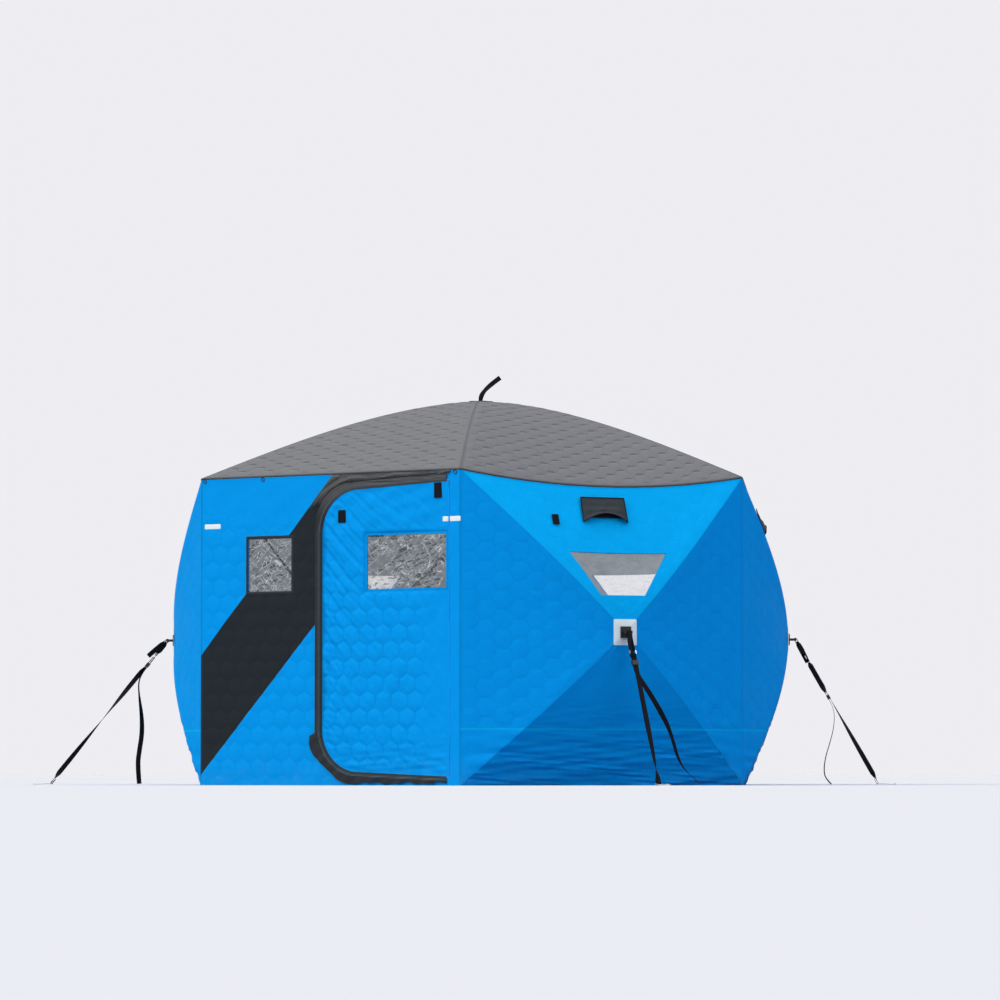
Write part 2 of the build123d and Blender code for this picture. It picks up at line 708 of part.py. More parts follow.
def knuckled_pole(points, away):
    """Pole whose first end has a knuckle, bored for its pin; away points out of the hut there."""
    along = (points[1] - points[0]).normalized()
    side_plane = Plane(origin=points[0], x_dir=along, z_dir=along.cross(away))
    with BuildPart(mode=Mode.PRIVATE) as made:
        add(rod(points, POLE_RADIUS))
        with BuildSketch(side_plane):
            Circle(KNUCKLE_RADIUS)
            Rectangle(KNUCKLE_LENGTH, 2 * KNUCKLE_RADIUS, align=(Align.MIN, Align.CENTER))
        extrude(amount=KNUCKLE_WIDTH / 2, both=True)
        with BuildSketch(side_plane):
            Circle(PIN_RADIUS + FIT)
        extrude(amount=KNUCKLE_WIDTH, both=True, mode=Mode.SUBTRACT)
    return made.part


def slotted_hub(top, radius, poles):
    """Moulded hub: a disc with a slot and a pin for the knuckle of each pole."""
    with BuildPart(mode=Mode.PRIVATE) as made:
        with BuildSketch(top):
            Circle(radius)
        extrude(amount=-HUB_DEPTH)
        for points in poles:
            pin = top.to_local_coords(points[0])
            ahead = top.to_local_coords(points[1]) - pin
            bearing = Vector(ahead.X, ahead.Y, 0).normalized()
            slot_plane = Plane(
                origin=top.from_local_coords(Vector(pin.X, pin.Y, -HUB_PLATE)),
                x_dir=top.x_dir * bearing.X + top.y_dir * bearing.Y,
                z_dir=top.z_dir,
            )
            with BuildSketch(slot_plane):
                with Locations((-KNUCKLE_RADIUS - KNUCKLE_ROOM, 0)):
                    Rectangle(2 * radius, KNUCKLE_WIDTH + 2 * FIT, align=(Align.MIN, Align.CENTER))
            extrude(amount=-HUB_DEPTH, mode=Mode.SUBTRACT)
        for points in poles:
            along = (points[1] - points[0]).normalized()
            with BuildSketch(Plane(origin=points[0], x_dir=along, z_dir=along.cross(top.z_dir))):
                Circle(PIN_RADIUS)
            extrude(amount=PIN_LENGTH / 2, both=True)
    return made.part


hub_top = Plane(origin=(0, HUB_HEIGHT, HUB_BULGE), x_dir=(1, 0, 0), z_dir=(0, 0, 1))
wall_routes = [
    [pole_point(side, up, u) for u in POLE_STATIONS] for side in (-1, 1) for up in (True, False)
]
with BuildPart() as wall_hubs:
    on_each_hub_wall(slotted_hub(hub_top, HUB_RADIUS, wall_routes))
wall_hubs.part.label = "wall_hubs"
export_step(wall_hubs.part, "parts/wall_hubs.step")

# Reinforcing patch over each hub, outside
with BuildPart() as hub_patches:
    for wall in HUB_WALLS:
        with BuildSketch(Plane(wall_plane(wall) * hub_top).offset(FIT)):
            Rectangle(PATCH_SIDE, PATCH_SIDE)
        extrude(amount=PATCH_THICKNESS)
hub_patches.part.label = "hub_patches"
export_step(hub_patches.part, "parts/hub_patches.step")

# Corner boots that take the pole ends, at the eave and at the foot
boot_distance = SIDE - (FABRIC + BOOT_RADIUS + FIT) / cos(radians(30))
CORNER_ANGLES = [60 * wall - 120 for wall in WALL_NAMES]


def boots(foot, radius, height):
    """One upright cylinder at each corner of the hut."""
    with BuildPart(mode=Mode.PRIVATE) as made:
        with BuildSketch(Plane(origin=centre + Vector(0, 0, foot))):
            with PolarLocations(boot_distance, len(CORNER_ANGLES), start_angle=CORNER_ANGLES[0]):
                Circle(radius)
        extrude(amount=height)
    return made.part


with BuildPart() as eave_boots:
    add(boots(eave_boot_foot, BOOT_RADIUS, BOOT_HEIGHT))
eave_boots.part.label = "eave_boots"
export_step(eave_boots.part, "parts/eave_boots.step")
with BuildPart() as foot_boots:
    add(boots(0, BOOT_RADIUS, BOOT_HEIGHT))
foot_boots.part.label = "foot_boots"
export_step(foot_boots.part, "parts/foot_boots.step")
boot_room = boots(0, BOOT_RADIUS + FIT, EAVE_HEIGHT)

away_from_hut = Vector(0, 0, 1)
with BuildPart() as one_wall_of_poles:
    add([knuckled_pole(route, away_from_hut) for route in wall_routes])
with BuildPart() as wall_poles:
    on_each_hub_wall(one_wall_of_poles.part)
    add(boot_room, mode=Mode.SUBTRACT)
wall_poles.part.label = "wall_poles"
export_step(wall_poles.part, "parts/wall_poles.step")

# Roof hub, its six rib poles, the cap and the strap that stands on it
roof_hub_top = rib_height(ROOF_HUB_RADIUS / SIDE)


def rib_point(corner, u):
    """Point on a rib pole's middle line, in the hut's frame."""
    height = rib_height(u) - pole_inset - ROOF_POLE_DROP * u**3
    angle = radians(corner)
    return centre + Vector(SIDE * u * cos(angle), SIDE * u * sin(angle), height)


rib_routes = [[rib_point(corner, u) for u in POLE_STATIONS] for corner in CORNER_ANGLES]
with BuildPart() as roof_hub:
    add(slotted_hub(Plane(origin=centre + Vector(0, 0, roof_hub_top)), ROOF_HUB_RADIUS, rib_routes))
roof_hub.part.label = "roof_hub"
export_step(roof_hub.part, "parts/roof_hub.step")
with BuildPart() as roof_poles:
    add([knuckled_pole(route, away_from_hut) for route in rib_routes])
    add(boot_room, mode=Mode.SUBTRACT)
roof_poles.part.label = "roof_poles"
export_step(roof_poles.part, "parts/roof_poles.step")

cap_foot = roof_hub_top + FIT
cap_rim = rib_height(CAP_RADIUS / SIDE) + FIT
with BuildPart() as roof_cap:
    with BuildSketch(Plane(origin=centre, x_dir=(1, 0, 0), z_dir=(0, -1, 0))):
        with BuildLine():
            Polyline(
                (0, cap_foot),
                (ROOF_HUB_RADIUS, cap_foot),
                (CAP_RADIUS, cap_rim),
                (CAP_RADIUS, cap_rim + CAP_THICKNESS),
                (ROOF_HUB_RADIUS, cap_foot + CAP_THICKNESS),
                (0, cap_foot + CAP_THICKNESS),
                close=True,
            )
        make_face()
    revolve(axis=vertical_axis)
roof_cap.part.label = "roof_cap"
export_step(roof_cap.part, "parts/roof_cap.step")


def band(plane, route, thickness, width):
    """Flat band bent along a planar route, with arcs at its corners."""
    points = [Vector(*point) for point in route]
    with BuildPart(mode=Mode.PRIVATE) as made:
        with BuildSketch(plane):
            with BuildLine(plane) as path:
                FilletPolyline(*points, radius=tangent_radii(points))
            trace(line_width=thickness)
        extrude(amount=width / 2, both=True)
    return made.part


strap_angle = radians(ROOF_STRAP_BEARING)
roof_strap_plane = Plane(
    origin=centre + Vector(0, 0, cap_foot + CAP_THICKNESS),
    x_dir=(cos(strap_angle), sin(strap_angle), 0),
    z_dir=(sin(strap_angle), -cos(strap_angle), 0),
)
with BuildPart() as roof_pull_strap:
    add(band(roof_strap_plane, ROOF_STRAP_ROUTE, 2 * WEBBING_THICKNESS, WEBBING))
roof_pull_strap.part.label = "roof_pull_strap"
export_step(roof_pull_strap.part, "parts/roof_pull_strap.step")

# Guy straps. Each lies in the upright plane through its hub: a bracket on the hub's plate,
# a webbing pull loop, a steel ring, the strap, and a wire anchor screwed into the ice
plate_face = HUB_BULGE + FIT + PATCH_THICKNESS + PLATE_THICKNESS
bracket_bar = Vector(0, HUB_HEIGHT, plate_face + BRACKET_REACH)
turn = BAR / 2 + WEBBING_PLAY
ring_bar = (RING_LENGTH - BAR) / 2


def anchor_bar(wall):
    """Middle of the anchor's bar, which holds the strap's lower end, in the wall's frame."""
    return Vector(0, ANCHOR_BAR_HEIGHT, ANCHOR_REACH[wall])


def strap_plane(wall):
    """Frame on the steel ring's middle: x along the taut strap, y up and away from the hut."""
    base = wall_plane(wall)
    along = (anchor_bar(wall) - bracket_bar).normalized()
    middle = bracket_bar + along * (PULL_LENGTH + ring_bar)
    return Plane(
        origin=base.from_local_coords(middle),
        x_dir=base.y_dir * along.Y + base.z_dir * along.Z,
        z_dir=base.x_dir * -1,
    )


def strap_length(wall):
    """Distance from the ring's middle to the anchor's bar."""
    return (anchor_bar(wall) - bracket_bar).length - PULL_LENGTH - ring_bar


def slide_start(wall):
    """Distance from the ring's middle to the slide's upper end."""
    return ring_bar + SLIDE_DISTANCES[wall] - SLIDE_LENGTH / 2


def racetrack(start, end):
    """Webbing that runs round two bars, in the sketch in hand."""
    with Locations(((start + end) / 2, 0)):
        SlotCenterToCenter(end - start, 2 * (turn + WEBBING_THICKNESS))
        SlotCenterToCenter(end - start, 2 * turn, mode=Mode.SUBTRACT)


with BuildPart() as hub_plates:
    for wall in HUB_WALLS:
        base = wall_plane(wall)
        with BuildSketch(Plane(base * hub_top).offset(FIT + PATCH_THICKNESS)):
            Rectangle(PLATE_SIDE, PLATE_SIDE)
        extrude(amount=PLATE_THICKNESS)
        with BuildSketch(Plane(base * hub_top).offset(plate_face - HUB_BULGE)):
            with Locations((-WEBBING / 2 - BRACKET_ARM, 0), (WEBBING / 2 + BRACKET_ARM, 0)):
                Rectangle(BRACKET_ARM, BRACKET_DEPTH)
        extrude(amount=BRACKET_REACH + BAR)
        bar_plane = Plane(origin=base.from_local_coords(bracket_bar), x_dir=base.y_dir, z_dir=base.x_dir)
        with BuildSketch(bar_plane):
            Circle(BAR / 2)
        extrude(amount=WEBBING / 2 + BRACKET_ARM, both=True)
hub_plates.part.label = "hub_plates"
export_step(hub_plates.part, "parts/hub_plates.step")

with BuildPart() as pull_loops:
    for wall in HUB_WALLS:
        with BuildSketch(strap_plane(wall)):
            racetrack(-PULL_LENGTH - ring_bar, -ring_bar)
        extrude(amount=WEBBING / 2, both=True)
pull_loops.part.label = "pull_loops"
export_step(pull_loops.part, "parts/pull_loops.step")

with BuildPart() as strap_rings:
    for wall in HUB_WALLS:
        frame = strap_plane(wall)
        with BuildSketch(Plane(origin=frame.origin, x_dir=frame.x_dir, z_dir=frame.y_dir)):
            RectangleRounded(RING_LENGTH, RING_WIDTH, 2 * BAR)
            RectangleRounded(RING_LENGTH - 2 * BAR, RING_WIDTH - 2 * BAR, BAR, mode=Mode.SUBTRACT)
        extrude(amount=BAR / 2, both=True)
strap_rings.part.label = "strap_rings"
export_step(strap_rings.part, "parts/strap_rings.step")

with BuildPart() as guy_straps:
    for wall in HUB_WALLS:
        foot = strap_length(wall)
        free_start = ring_bar + SLIDE_DISTANCES[wall]
        with BuildSketch(strap_plane(wall)):
            racetrack(ring_bar, foot)
            with Locations((free_start, -turn - WEBBING_THICKNESS)):
                Rectangle(
                    foot - free_start - SEWN_RETURN,
                    2 * WEBBING_THICKNESS,
                    align=(Align.MIN, Align.CENTER),
                    mode=Mode.SUBTRACT,
                )
        extrude(amount=WEBBING / 2, both=True)
guy_straps.part.label = "guy_straps"
export_step(guy_straps.part, "parts/guy_straps.step")

# Slides that hold the strap's returned end, with a slot for the taut part
slide_depth = 2 * (turn + WEBBING_THICKNESS + SLIDE_WALL)
with BuildPart() as strap_slides:
    for wall in HUB_WALLS:
        frame = strap_plane(wall)
        slot_width = WEBBING + 2 * FIT
        start = slide_start(wall)
        with BuildSketch(frame):
            with Locations((start, 0)):
                Rectangle(SLIDE_LENGTH, slide_depth, align=(Align.MIN, Align.CENTER))
        extrude(amount=SLIDE_WIDTH / 2, both=True)
        with BuildSketch(frame):
            with Locations((start, turn + WEBBING_THICKNESS / 2)):
                Rectangle(SLIDE_LENGTH, WEBBING_THICKNESS + 2 * FIT, align=(Align.MIN, Align.CENTER))
            with Locations((start, -turn - WEBBING_THICKNESS / 2)):
                Rectangle(
                    SLIDE_LENGTH / 2 + FIT, WEBBING_THICKNESS + 2 * FIT, align=(Align.MIN, Align.CENTER)
                )
        extrude(amount=slot_width / 2, both=True, mode=Mode.SUBTRACT)
strap_slides.part.label = "strap_slides"
export_step(strap_slides.part, "parts/strap_slides.step")

# Ice anchors: a wire frame that slopes down on to the ice, with the stem of its screw at its end
with BuildPart() as ice_anchors:
    for wall in HUB_WALLS:
        base = wall_plane(wall)
        slope = Vector(0, BAR / 2 - ANCHOR_BAR_HEIGHT, ANCHOR_LENGTH).normalized()
        lie = base.y_dir * slope.Y + base.z_dir * slope.Z
        middle = base.from_local_coords(anchor_bar(wall))
        with BuildSketch(Plane(origin=middle, x_dir=lie, z_dir=lie.cross(base.x_dir))):
            with BuildLine():
                Polyline(
                    (0, -RING_WIDTH / 2),
                    (0, RING_WIDTH / 2),
                    (ANCHOR_LENGTH * 2 / 3, ANCHOR_WIDTH / 2),
                    (ANCHOR_LENGTH, 0),
                    (ANCHOR_LENGTH * 2 / 3, -ANCHOR_WIDTH / 2),
                    close=True,
                )
            trace(line_width=BAR)
        extrude(amount=BAR / 2, both=True)
        with BuildSketch(Plane(origin=base.from_local_coords(Vector(0, 0, ANCHOR_REACH[wall] + ANCHOR_LENGTH)))):
            Circle(ANCHOR_STEM)
        extrude(amount=ANCHOR_BAR_HEIGHT)
ice_anchors.part.label = "ice_anchors"
export_step(ice_anchors.part, "parts/ice_anchors.step")

# Loose tails, which leave their slides in line with the strap and fall to the ice
for wall, name in HUB_WALLS.items():
    base = wall_plane(wall)
    frame = strap_plane(wall)
    leaving = slide_start(wall) + SLIDE_LENGTH
    start = frame.from_local_coords(Vector(leaving, -turn - WEBBING_THICKNESS / 2))
    points = [start, start + frame.x_dir * TAIL_LEAD]
    for right, outward, rise in TAIL_ROUTE[wall]:
        points.append(start + base.x_dir * right + base.z_dir * outward + Vector(0, 0, rise))
    radii = tangent_radii(points)
    with BuildPart() as tail:
        with BuildLine() as path:
            FilletPolyline(*points, radius=radii)
        with BuildSketch(Plane(origin=start, x_dir=base.x_dir, z_dir=frame.x_dir)):
            Rectangle(WEBBING, WEBBING_THICKNESS)
        sweep(path=path.line, transition=Transition.ROUND)
    length = path.wires()[0].length
    ratio = tail.part.volume / (length * WEBBING * WEBBING_THICKNESS)
    lowest = tail.part.bounding_box().min.Z
    print(f"{name} tail: length {length:.0f}, radii {[round(radius) for radius in radii]}")
    print(f"its volume is {ratio:.3f} of section times length, and its lowest point {lowest:.1f}")
    tail.part.label = f"strap_tail_{name}"
    export_step(tail.part, f"parts/strap_tail_{name}.step")
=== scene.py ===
from math import cos, pi, radians, sin

import bmesh
import bpy
import numpy as np
from mathutils import Euler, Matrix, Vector


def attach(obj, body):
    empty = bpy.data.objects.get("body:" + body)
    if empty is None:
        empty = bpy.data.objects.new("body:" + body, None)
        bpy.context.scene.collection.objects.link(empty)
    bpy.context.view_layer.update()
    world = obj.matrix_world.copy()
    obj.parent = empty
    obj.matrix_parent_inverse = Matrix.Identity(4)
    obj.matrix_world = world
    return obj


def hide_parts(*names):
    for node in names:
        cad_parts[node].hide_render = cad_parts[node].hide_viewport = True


bl_info = {
    "name": "Ice fishing hut",
    "version": (1, 0, 0),
    "blender": (4, 5, 0),
    "location": "View3D > Sidebar > Ice hut",
    "description": "Builds the cloth, straps and finishes of a six-sided pop-up ice fishing hut",
    "category": "Add Mesh",
}

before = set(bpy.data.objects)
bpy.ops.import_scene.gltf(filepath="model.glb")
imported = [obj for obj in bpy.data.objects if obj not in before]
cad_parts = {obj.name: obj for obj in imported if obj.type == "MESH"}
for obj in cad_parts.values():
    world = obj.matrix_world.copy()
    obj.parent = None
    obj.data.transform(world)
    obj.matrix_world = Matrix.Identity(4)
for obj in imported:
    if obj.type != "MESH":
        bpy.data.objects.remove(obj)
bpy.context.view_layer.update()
DOOR_WALL = 0
HUB_WALLS = {1: "front_right", 2: "rear_right", 3: "rear", 4: "rear_left", 5: "front_left"}
WALL_NAMES = {DOOR_WALL: "front", **HUB_WALLS}
FITTING = 0.0003
WELD = 0.00001

# Window of a hub wall, as shares of its upper gore: from and to along u, from and to along v
HUB_WINDOW = (0.231, 0.506, 0.163, 0.837)

# Places in a wall's frame: middle, width and height of the sewn tab, the vent's slot and its hood's seat
WALL_TAB = (-0.324, 1.328, 0.037, 0.052)
VENT = (-0.043, 1.391, 0.150, 0.045)
HOOD_SEAT = (-0.043, 1.388, 0.250, 0.140)

# Widths and heights, and how far the faces of the door's webbing and tape stand out
HUB_PATCH = (0.130, 0.130)
DOOR_WINDOW = (0.478, 0.270)
SIDE_WINDOW = (0.270, 0.270)
TAB_FACE = 0.0022
TAPE_FACE = 0.0012

# Gap of the zip round the door, reach of the flat top of the roof's cap, and openings of cloth at hubs
ZIP_GAP = 0.005
CAP_TOP = 0.044
WALL_OPENING = 0.040
ROOF_OPENING = 0.0525

# Stripe on the door wall: slopes of its upper and lower edge, and where the lower one meets the left corner
STRIPE_SLOPE = 1.09
STRIPE_FOOT_SLOPE = 1.062
STRIPE_FOOT = 0.048

# Guy straps and their tails; a strap turns round bars of 6 mm
WEBBING = 0.025
WEBBING_THICKNESS = 0.002
STRAP_TURN = 0.003 + WEBBING_THICKNESS / 2
BRACKET_BAR = 0.0385
PULL_LOOP = 0.108
ANCHOR_BAR = 0.008
ANCHOR_REACH = {1: 0.580, 2: 0.700, 3: 0.720, 4: 0.760, 5: 0.890}
SLIDE_DISTANCE = {1: 0.050, 2: 0.230, 3: 0.050, 4: 0.050, 5: 0.050}
TAIL_LEAD = 0.045

# Routes of the loose tails, from each one's start: to the wall's right, outward and up
TAIL_ROUTE = {
    1: (
        (0.026, 0.046, -0.096), (0.076, 0.050, -0.168), (0.118, 0.050, -0.232), (0.158, 0.050, -0.300),
        (0.188, 0.052, -0.380), (0.210, 0.056, -0.460), (0.246, 0.074, -0.530), (0.310, 0.100, -0.584),
    ),
    2: (
        (0, 0.030, -0.092), (0, 0.023, -0.160), (0, 0.004, -0.230), (0, -0.018, -0.300),
        (0, -0.028, -0.366), (0, -0.020, -0.416), (0, 0.012, -0.445),
    ),
    3: (
        (0, 0.042, -0.092), (0.006, 0.038, -0.180), (0.010, 0.028, -0.280), (0.004, 0.024, -0.380),
        (0, 0.036, -0.470), (0.008, 0.044, -0.546), (0.030, 0.034, -0.600),
    ),
    4: (
        (0, 0.044, -0.092), (-0.006, 0.038, -0.180), (-0.008, 0.026, -0.280), (-0.002, 0.026, -0.380),
        (0.004, 0.038, -0.470), (-0.004, 0.046, -0.546), (-0.028, 0.036, -0.602),
    ),
    5: (
        (0, 0.046, -0.086), (0, 0.038, -0.170), (0, 0.026, -0.260), (0, 0.024, -0.350),
        (0, 0.038, -0.440), (0, 0.048, -0.516), (0, 0.038, -0.617),
    ),
}

# Turns of the straps and tails about their own line: share of the way, angle
STRAP_TWIST = {
    1: ((0, 0), (0.35, 0.15), (0.62, 1.0), (0.86, 1.62), (0.95, 2.2), (1, pi)),
    2: ((0, 0), (0.20, 0.25), (0.45, 0.75), (0.75, 1.3), (0.95, 1.57), (1, pi)),
    3: ((0, 0), (0.08, 1.4), (0.40, 1.8), (0.60, 3.1), (0.80, 4.5), (0.94, 4.9), (1, 2 * pi)),
    5: (
        (0, 0), (0.03, 1.1), (0.07, 1.5), (0.20, 1.9), (0.38, 2.8), (0.50, 3.1), (0.75, 4.0), (0.96, 4.75),
        (1, 2 * pi),
    ),
}
TAIL_TWIST = {
    1: ((0, 0), (0.35, 0.1), (0.62, 1.35), (0.80, 1.5), (1, 2.6)),
    2: ((0, 0), (1, 0.2)),
    3: ((0, 0), (0.5, 0.4), (1, 1.2)),
    5: ((0, 0), (0.30, 0.12), (0.62, 1.2), (0.85, 1.5), (1, 1.2)),
}
STRAP_TWIST[4], TAIL_TWIST[4] = STRAP_TWIST[3], TAIL_TWIST[3]

# Ways that the spare pull handles hang, in their wall's frame
HANDLE_HEADING = {
    1: (-0.10, -0.90, 0.45), 2: (0.12, -0.85, 0.50), 3: (0.10, -0.85, 0.50), 4: (-0.10, -0.85, 0.50),
    5: (0.0, -0.56, 0.83),
}
HANDLE_LENGTH = 0.125

NODE_FINISHES = {
    "plastic": (
        "wall_hubs", "roof_hub", "hub_plates", "eave_boots", "foot_boots", "strap_slides", "eave_rings"
    ),
    "steel": ("strap_rings", "ice_anchors"),
    "fibreglass": ("wall_poles", "roof_poles"),
}


def length_property(name, description, default):
    """A length in metres with a panel name, its meaning and its usual value."""
    return bpy.props.FloatProperty(name=name, description=description, default=default, unit="LENGTH")


def angle_property(name, description, degrees):
    """An angle with a panel name, its meaning and its usual value in degrees."""
    default = radians(degrees)
    return bpy.props.FloatProperty(name=name, description=description, default=default, unit="ROTATION")


def colour_property(name, description, default):
    """A linear colour with a panel name, its meaning and its usual value."""
    return bpy.props.FloatVectorProperty(
        name=name, description=description, default=default, subtype="COLOR", size=3, min=0, max=1
    )


class HutSizes(bpy.types.PropertyGroup):
    side: length_property("Side", "Width of one wall at its foot", 1.606)
    eave: length_property("Eave", "Height of the eave corners", 1.577)
    apex: length_property("Apex", "Height that the ribs point to at the middle of the roof", 2.030)
    hub_height: length_property("Hub height", "Height of the hubs above the ice", 0.764)
    hub_bulge: length_property("Hub bulge", "How far the hubs stand out from the corner line", 0.2335)
    fabric: length_property("Cloth", "Thickness of the quilted cloth", 0.008)
    skirt: length_property("Skirt", "Height of the plain skirt", 0.280)
    eave_drop: length_property("Eave sag", "Drop of the eave between two corners", 0.069)
    eave_bulge: length_property("Eave bulge", "How far the sagging eave stands out", 0.030)
    gore_hollow: length_property("Gore hollow", "Hollow of a gore between its seams", 0.010)
    rib_taper: length_property("Rib taper", "Straight part of the ribs' fall", 0.100)
    door_width: length_property("Door width", "Width of the doorway", 0.782)
    door_corner: length_property("Door corner", "Radius of the doorway's left corners", 0.230)
    hinge_inset: length_property("Hinge inset", "Hinge's distance from the right corner", 0.068)


class ClothLook(bpy.types.PropertyGroup):
    pitch: length_property("Quilting pitch", "Distance between two rows of quilting", 0.097)
    puff: length_property("Quilting depth", "Height of a quilted cell over its seams", 0.0024)
    weave: length_property("Weave", "Width of one thread pair of the cloth", 0.0016)
    wrinkle: length_property("Wrinkles", "Height of the soft wrinkles", 0.0022)
    step: length_property("Step", "Width of a mesh cell on the flat wall", 0.0125)


class HutColours(bpy.types.PropertyGroup):
    blue: colour_property("Blue cloth", "Quilted cloth of the walls", (0.0012, 0.320, 0.860))
    # The upper gores' blue is the walls' blue made paler: painted light of the sky on gores that face
    # upward.
    sky_lit_blue: colour_property("Blue with painted sky light", "Upper gores of the hub walls", (0.0012, 0.420, 0.930))
    charcoal: colour_property("Charcoal cloth", "Stripe and storm flap", (0.021, 0.025, 0.031))
    header: colour_property("Header cloth", "Loose cloth over the door", (0.092, 0.090, 0.090))
    hood: colour_property("Hood cloth", "Vent hoods", (0.030, 0.036, 0.042))
    roof: colour_property("Roof cloth", "Grey quilted cloth of the roof", (0.164, 0.162, 0.172))
    # The lining's colour also drives its painted glow.
    lining: colour_property("Lining", "Inner face of the cloth", (0.20, 0.22, 0.24))
    vinyl: colour_property("Vinyl", "Clear windows", (0.62, 0.66, 0.70))
    webbing: colour_property("Webbing", "Black straps", (0.006, 0.0065, 0.009))
    plastic: colour_property("Plastic", "Moulded fittings", (0.014, 0.0145, 0.016))
    patch: colour_property("Hub patch", "Reinforcing patches on the hubs", (0.78, 0.88, 0.96))
    reflector: colour_property("Reflector", "Reflective strips", (0.86, 0.88, 0.90))
    steel: colour_property("Steel", "Rings and ice anchors", (0.62, 0.63, 0.65))
    pole: colour_property("Poles", "Fibreglass poles", (0.075, 0.078, 0.082))


class StudioLook(bpy.types.PropertyGroup):
    distance: length_property("Camera distance", "From the hut's axis", 26.29)
    height: length_property("Camera height", "Above the ice", 0.0557)
    bearing: angle_property("Camera bearing", "Round the hut, from the door wall", 33.55)
    tilt: angle_property("Camera tilt", "Upward tilt of the camera", 3.157)
    pan: angle_property("Camera pan", "Turn of the camera to its right of the hut's axis", 0.2246)
    lens: bpy.props.FloatProperty(
        name="Lens", description="Focal length on a 36 mm sensor", default=178.98, unit="CAMERA"
    )
    sky: colour_property("Backdrop", "Pale background", (0.855, 0.850, 0.888))
    ice: colour_property("Floor", "Pale floor", (0.64, 0.63, 0.66))


class Shape:
    """Curved surfaces of the hut, worked out from the panel's sizes. All are in metres."""

    def __init__(self, sizes):
        self.half = sizes.side / 2
        self.side = sizes.side
        self.fabric = sizes.fabric
        self.apothem = sizes.side * cos(radians(30))
        self.centre = np.array((0, self.apothem - sizes.fabric / 2, 0))
        self.apex = sizes.apex
        self.hub_height = sizes.hub_height
        self.hub_bulge = sizes.hub_bulge
        self.skirt = sizes.skirt
        self.drop = sizes.eave_drop
        self.bulge = sizes.eave_bulge
        self.hollow = sizes.gore_hollow
        self.taper = sizes.rib_taper
        self.rib_bow = sizes.apex - sizes.eave - sizes.rib_taper
        self.wall_top = sizes.eave - sizes.fabric - FITTING
        self.hinge_x = self.half - sizes.hinge_inset
        self.door_left = self.hinge_x - sizes.door_width
        self.door_top_left = sizes.eave - 0.090
        self.door_top_right = sizes.eave - 0.053
        self.door_corner = sizes.door_corner
        self.window_y = self.door_top_left - 0.232 - DOOR_WINDOW[1] / 2
        self.side_window_x = self.door_left - 0.184 - SIDE_WINDOW[0] / 2
        self.door_window_x = self.hinge_x - 0.019 - DOOR_WINDOW[0] / 2
        self.stripe_x = self.door_left + 0.074
        self.vent_top = sizes.eave - 0.133
        self.vent_bottom = self.vent_top - 0.126
        self.reflector_y = sizes.eave - 0.251

    def bow(self, u):
        """Share of the hub's bulge left at u: 1 at the hub, falling as a cubic to 0 at the edge."""
        return 1 - (3 * u**2 - u**3) / 2

    def side_gore(self, u, v, sign):
        """A wall's left or right gore: u from the hub to the corner seam, v up the seam."""
        hollow = self.hollow * 16 * u * (1 - u) * v * (1 - v)
        x = sign * self.half * u + 0 * v
        y = self.hub_height * (1 - u) + self.wall_top * u * v
        return np.stack((x, y, self.hub_bulge * self.bow(u) - hollow), -1)

    def top_gore(self, u, v):
        """A wall's upper gore: u from the hub to the sagging eave, v along the eave."""
        crown = 4 * v * (1 - v)
        x = self.half * u * (2 * v - 1)
        y = self.hub_height + u * (self.wall_top - self.hub_height) - self.drop * u**3 * crown
        z = self.hub_bulge * self.bow(u) + self.bulge * u**3 * crown - self.hollow * 4 * u * (1 - u) * crown
        return np.stack((x, y, z), -1)

    def bottom_gore(self, u, v):
        """A wall's lower gore: u from the hub to the hem on the ice, v along the hem."""
        hollow = self.hollow * 16 * u * (1 - u) * v * (1 - v)
        x = self.half * u * (2 * v - 1)
        y = self.hub_height * (1 - u) + 0 * v
        return np.stack((x, y, self.hub_bulge * self.bow(u) - hollow), -1)

    def rib_height(self, u):
        """Height of the roof along a rib: a straight taper and a cubic bow."""
        return self.apex - self.taper * u - self.rib_bow * (3 * u**2 - u**3) / 2

    def roof_gore(self, u, v, wall):
        """A roof gore: u from the apex to the eave, v along the eave, which sags except over the door."""
        drop, bulge = (0, 0) if wall == DOOR_WALL else (self.drop, self.bulge)
        crown = 4 * v * (1 - v) * u**3
        x = self.half * u * (2 * v - 1)
        return np.stack((x, self.rib_height(u) - drop * crown, self.apothem * (u - 1) + bulge * crown), -1)

    def wall_height(self, x, y):
        """Outward height of a hub wall at a place in its frame: the gore whose u is the largest."""
        rise = y - self.hub_height
        up = rise / (self.wall_top - self.hub_height)
        u = np.maximum.reduce((np.abs(x) / self.half, up, -rise / self.hub_height, 0 * x + 1e-6))
        across = np.clip((x / (self.half * u) + 1) / 2, 0, 1)
        crown = 4 * across * (1 - across)
        top = up >= u - 1e-9
        hollow = np.where(top, 4 * crown, 16 * across * (1 - across)) * self.hollow * u * (1 - u)
        return self.hub_bulge * self.bow(u) + np.where(top, self.bulge * u**3 * crown, 0) - hollow

    def axes(self, wall):
        """A wall's own axes as rows: to the right seen from outside, up and outward."""
        angle = radians(60 * wall)
        return np.array(((cos(angle), sin(angle), 0), (0, 0, 1), (sin(angle), -cos(angle), 0)))

    def placed(self, wall, local):
        """Points of a wall's own frame in the row frame."""
        axes = self.axes(wall)
        return self.centre + axes[2] * self.apothem + np.asarray(local, float) @ axes

    def mitred(self, local):
        """Points of a wall's frame held within the mitres that it shares with its neighbours."""
        reach = (self.apothem + local[..., 2]) * np.tan(radians(30))
        local = local.copy()
        local[..., 0] = np.clip(local[..., 0], -reach, reach)
        return local


def unit(vectors):
    """Vectors of length one."""
    return vectors / np.maximum(np.linalg.norm(vectors, axis=-1, keepdims=True), 1e-12)


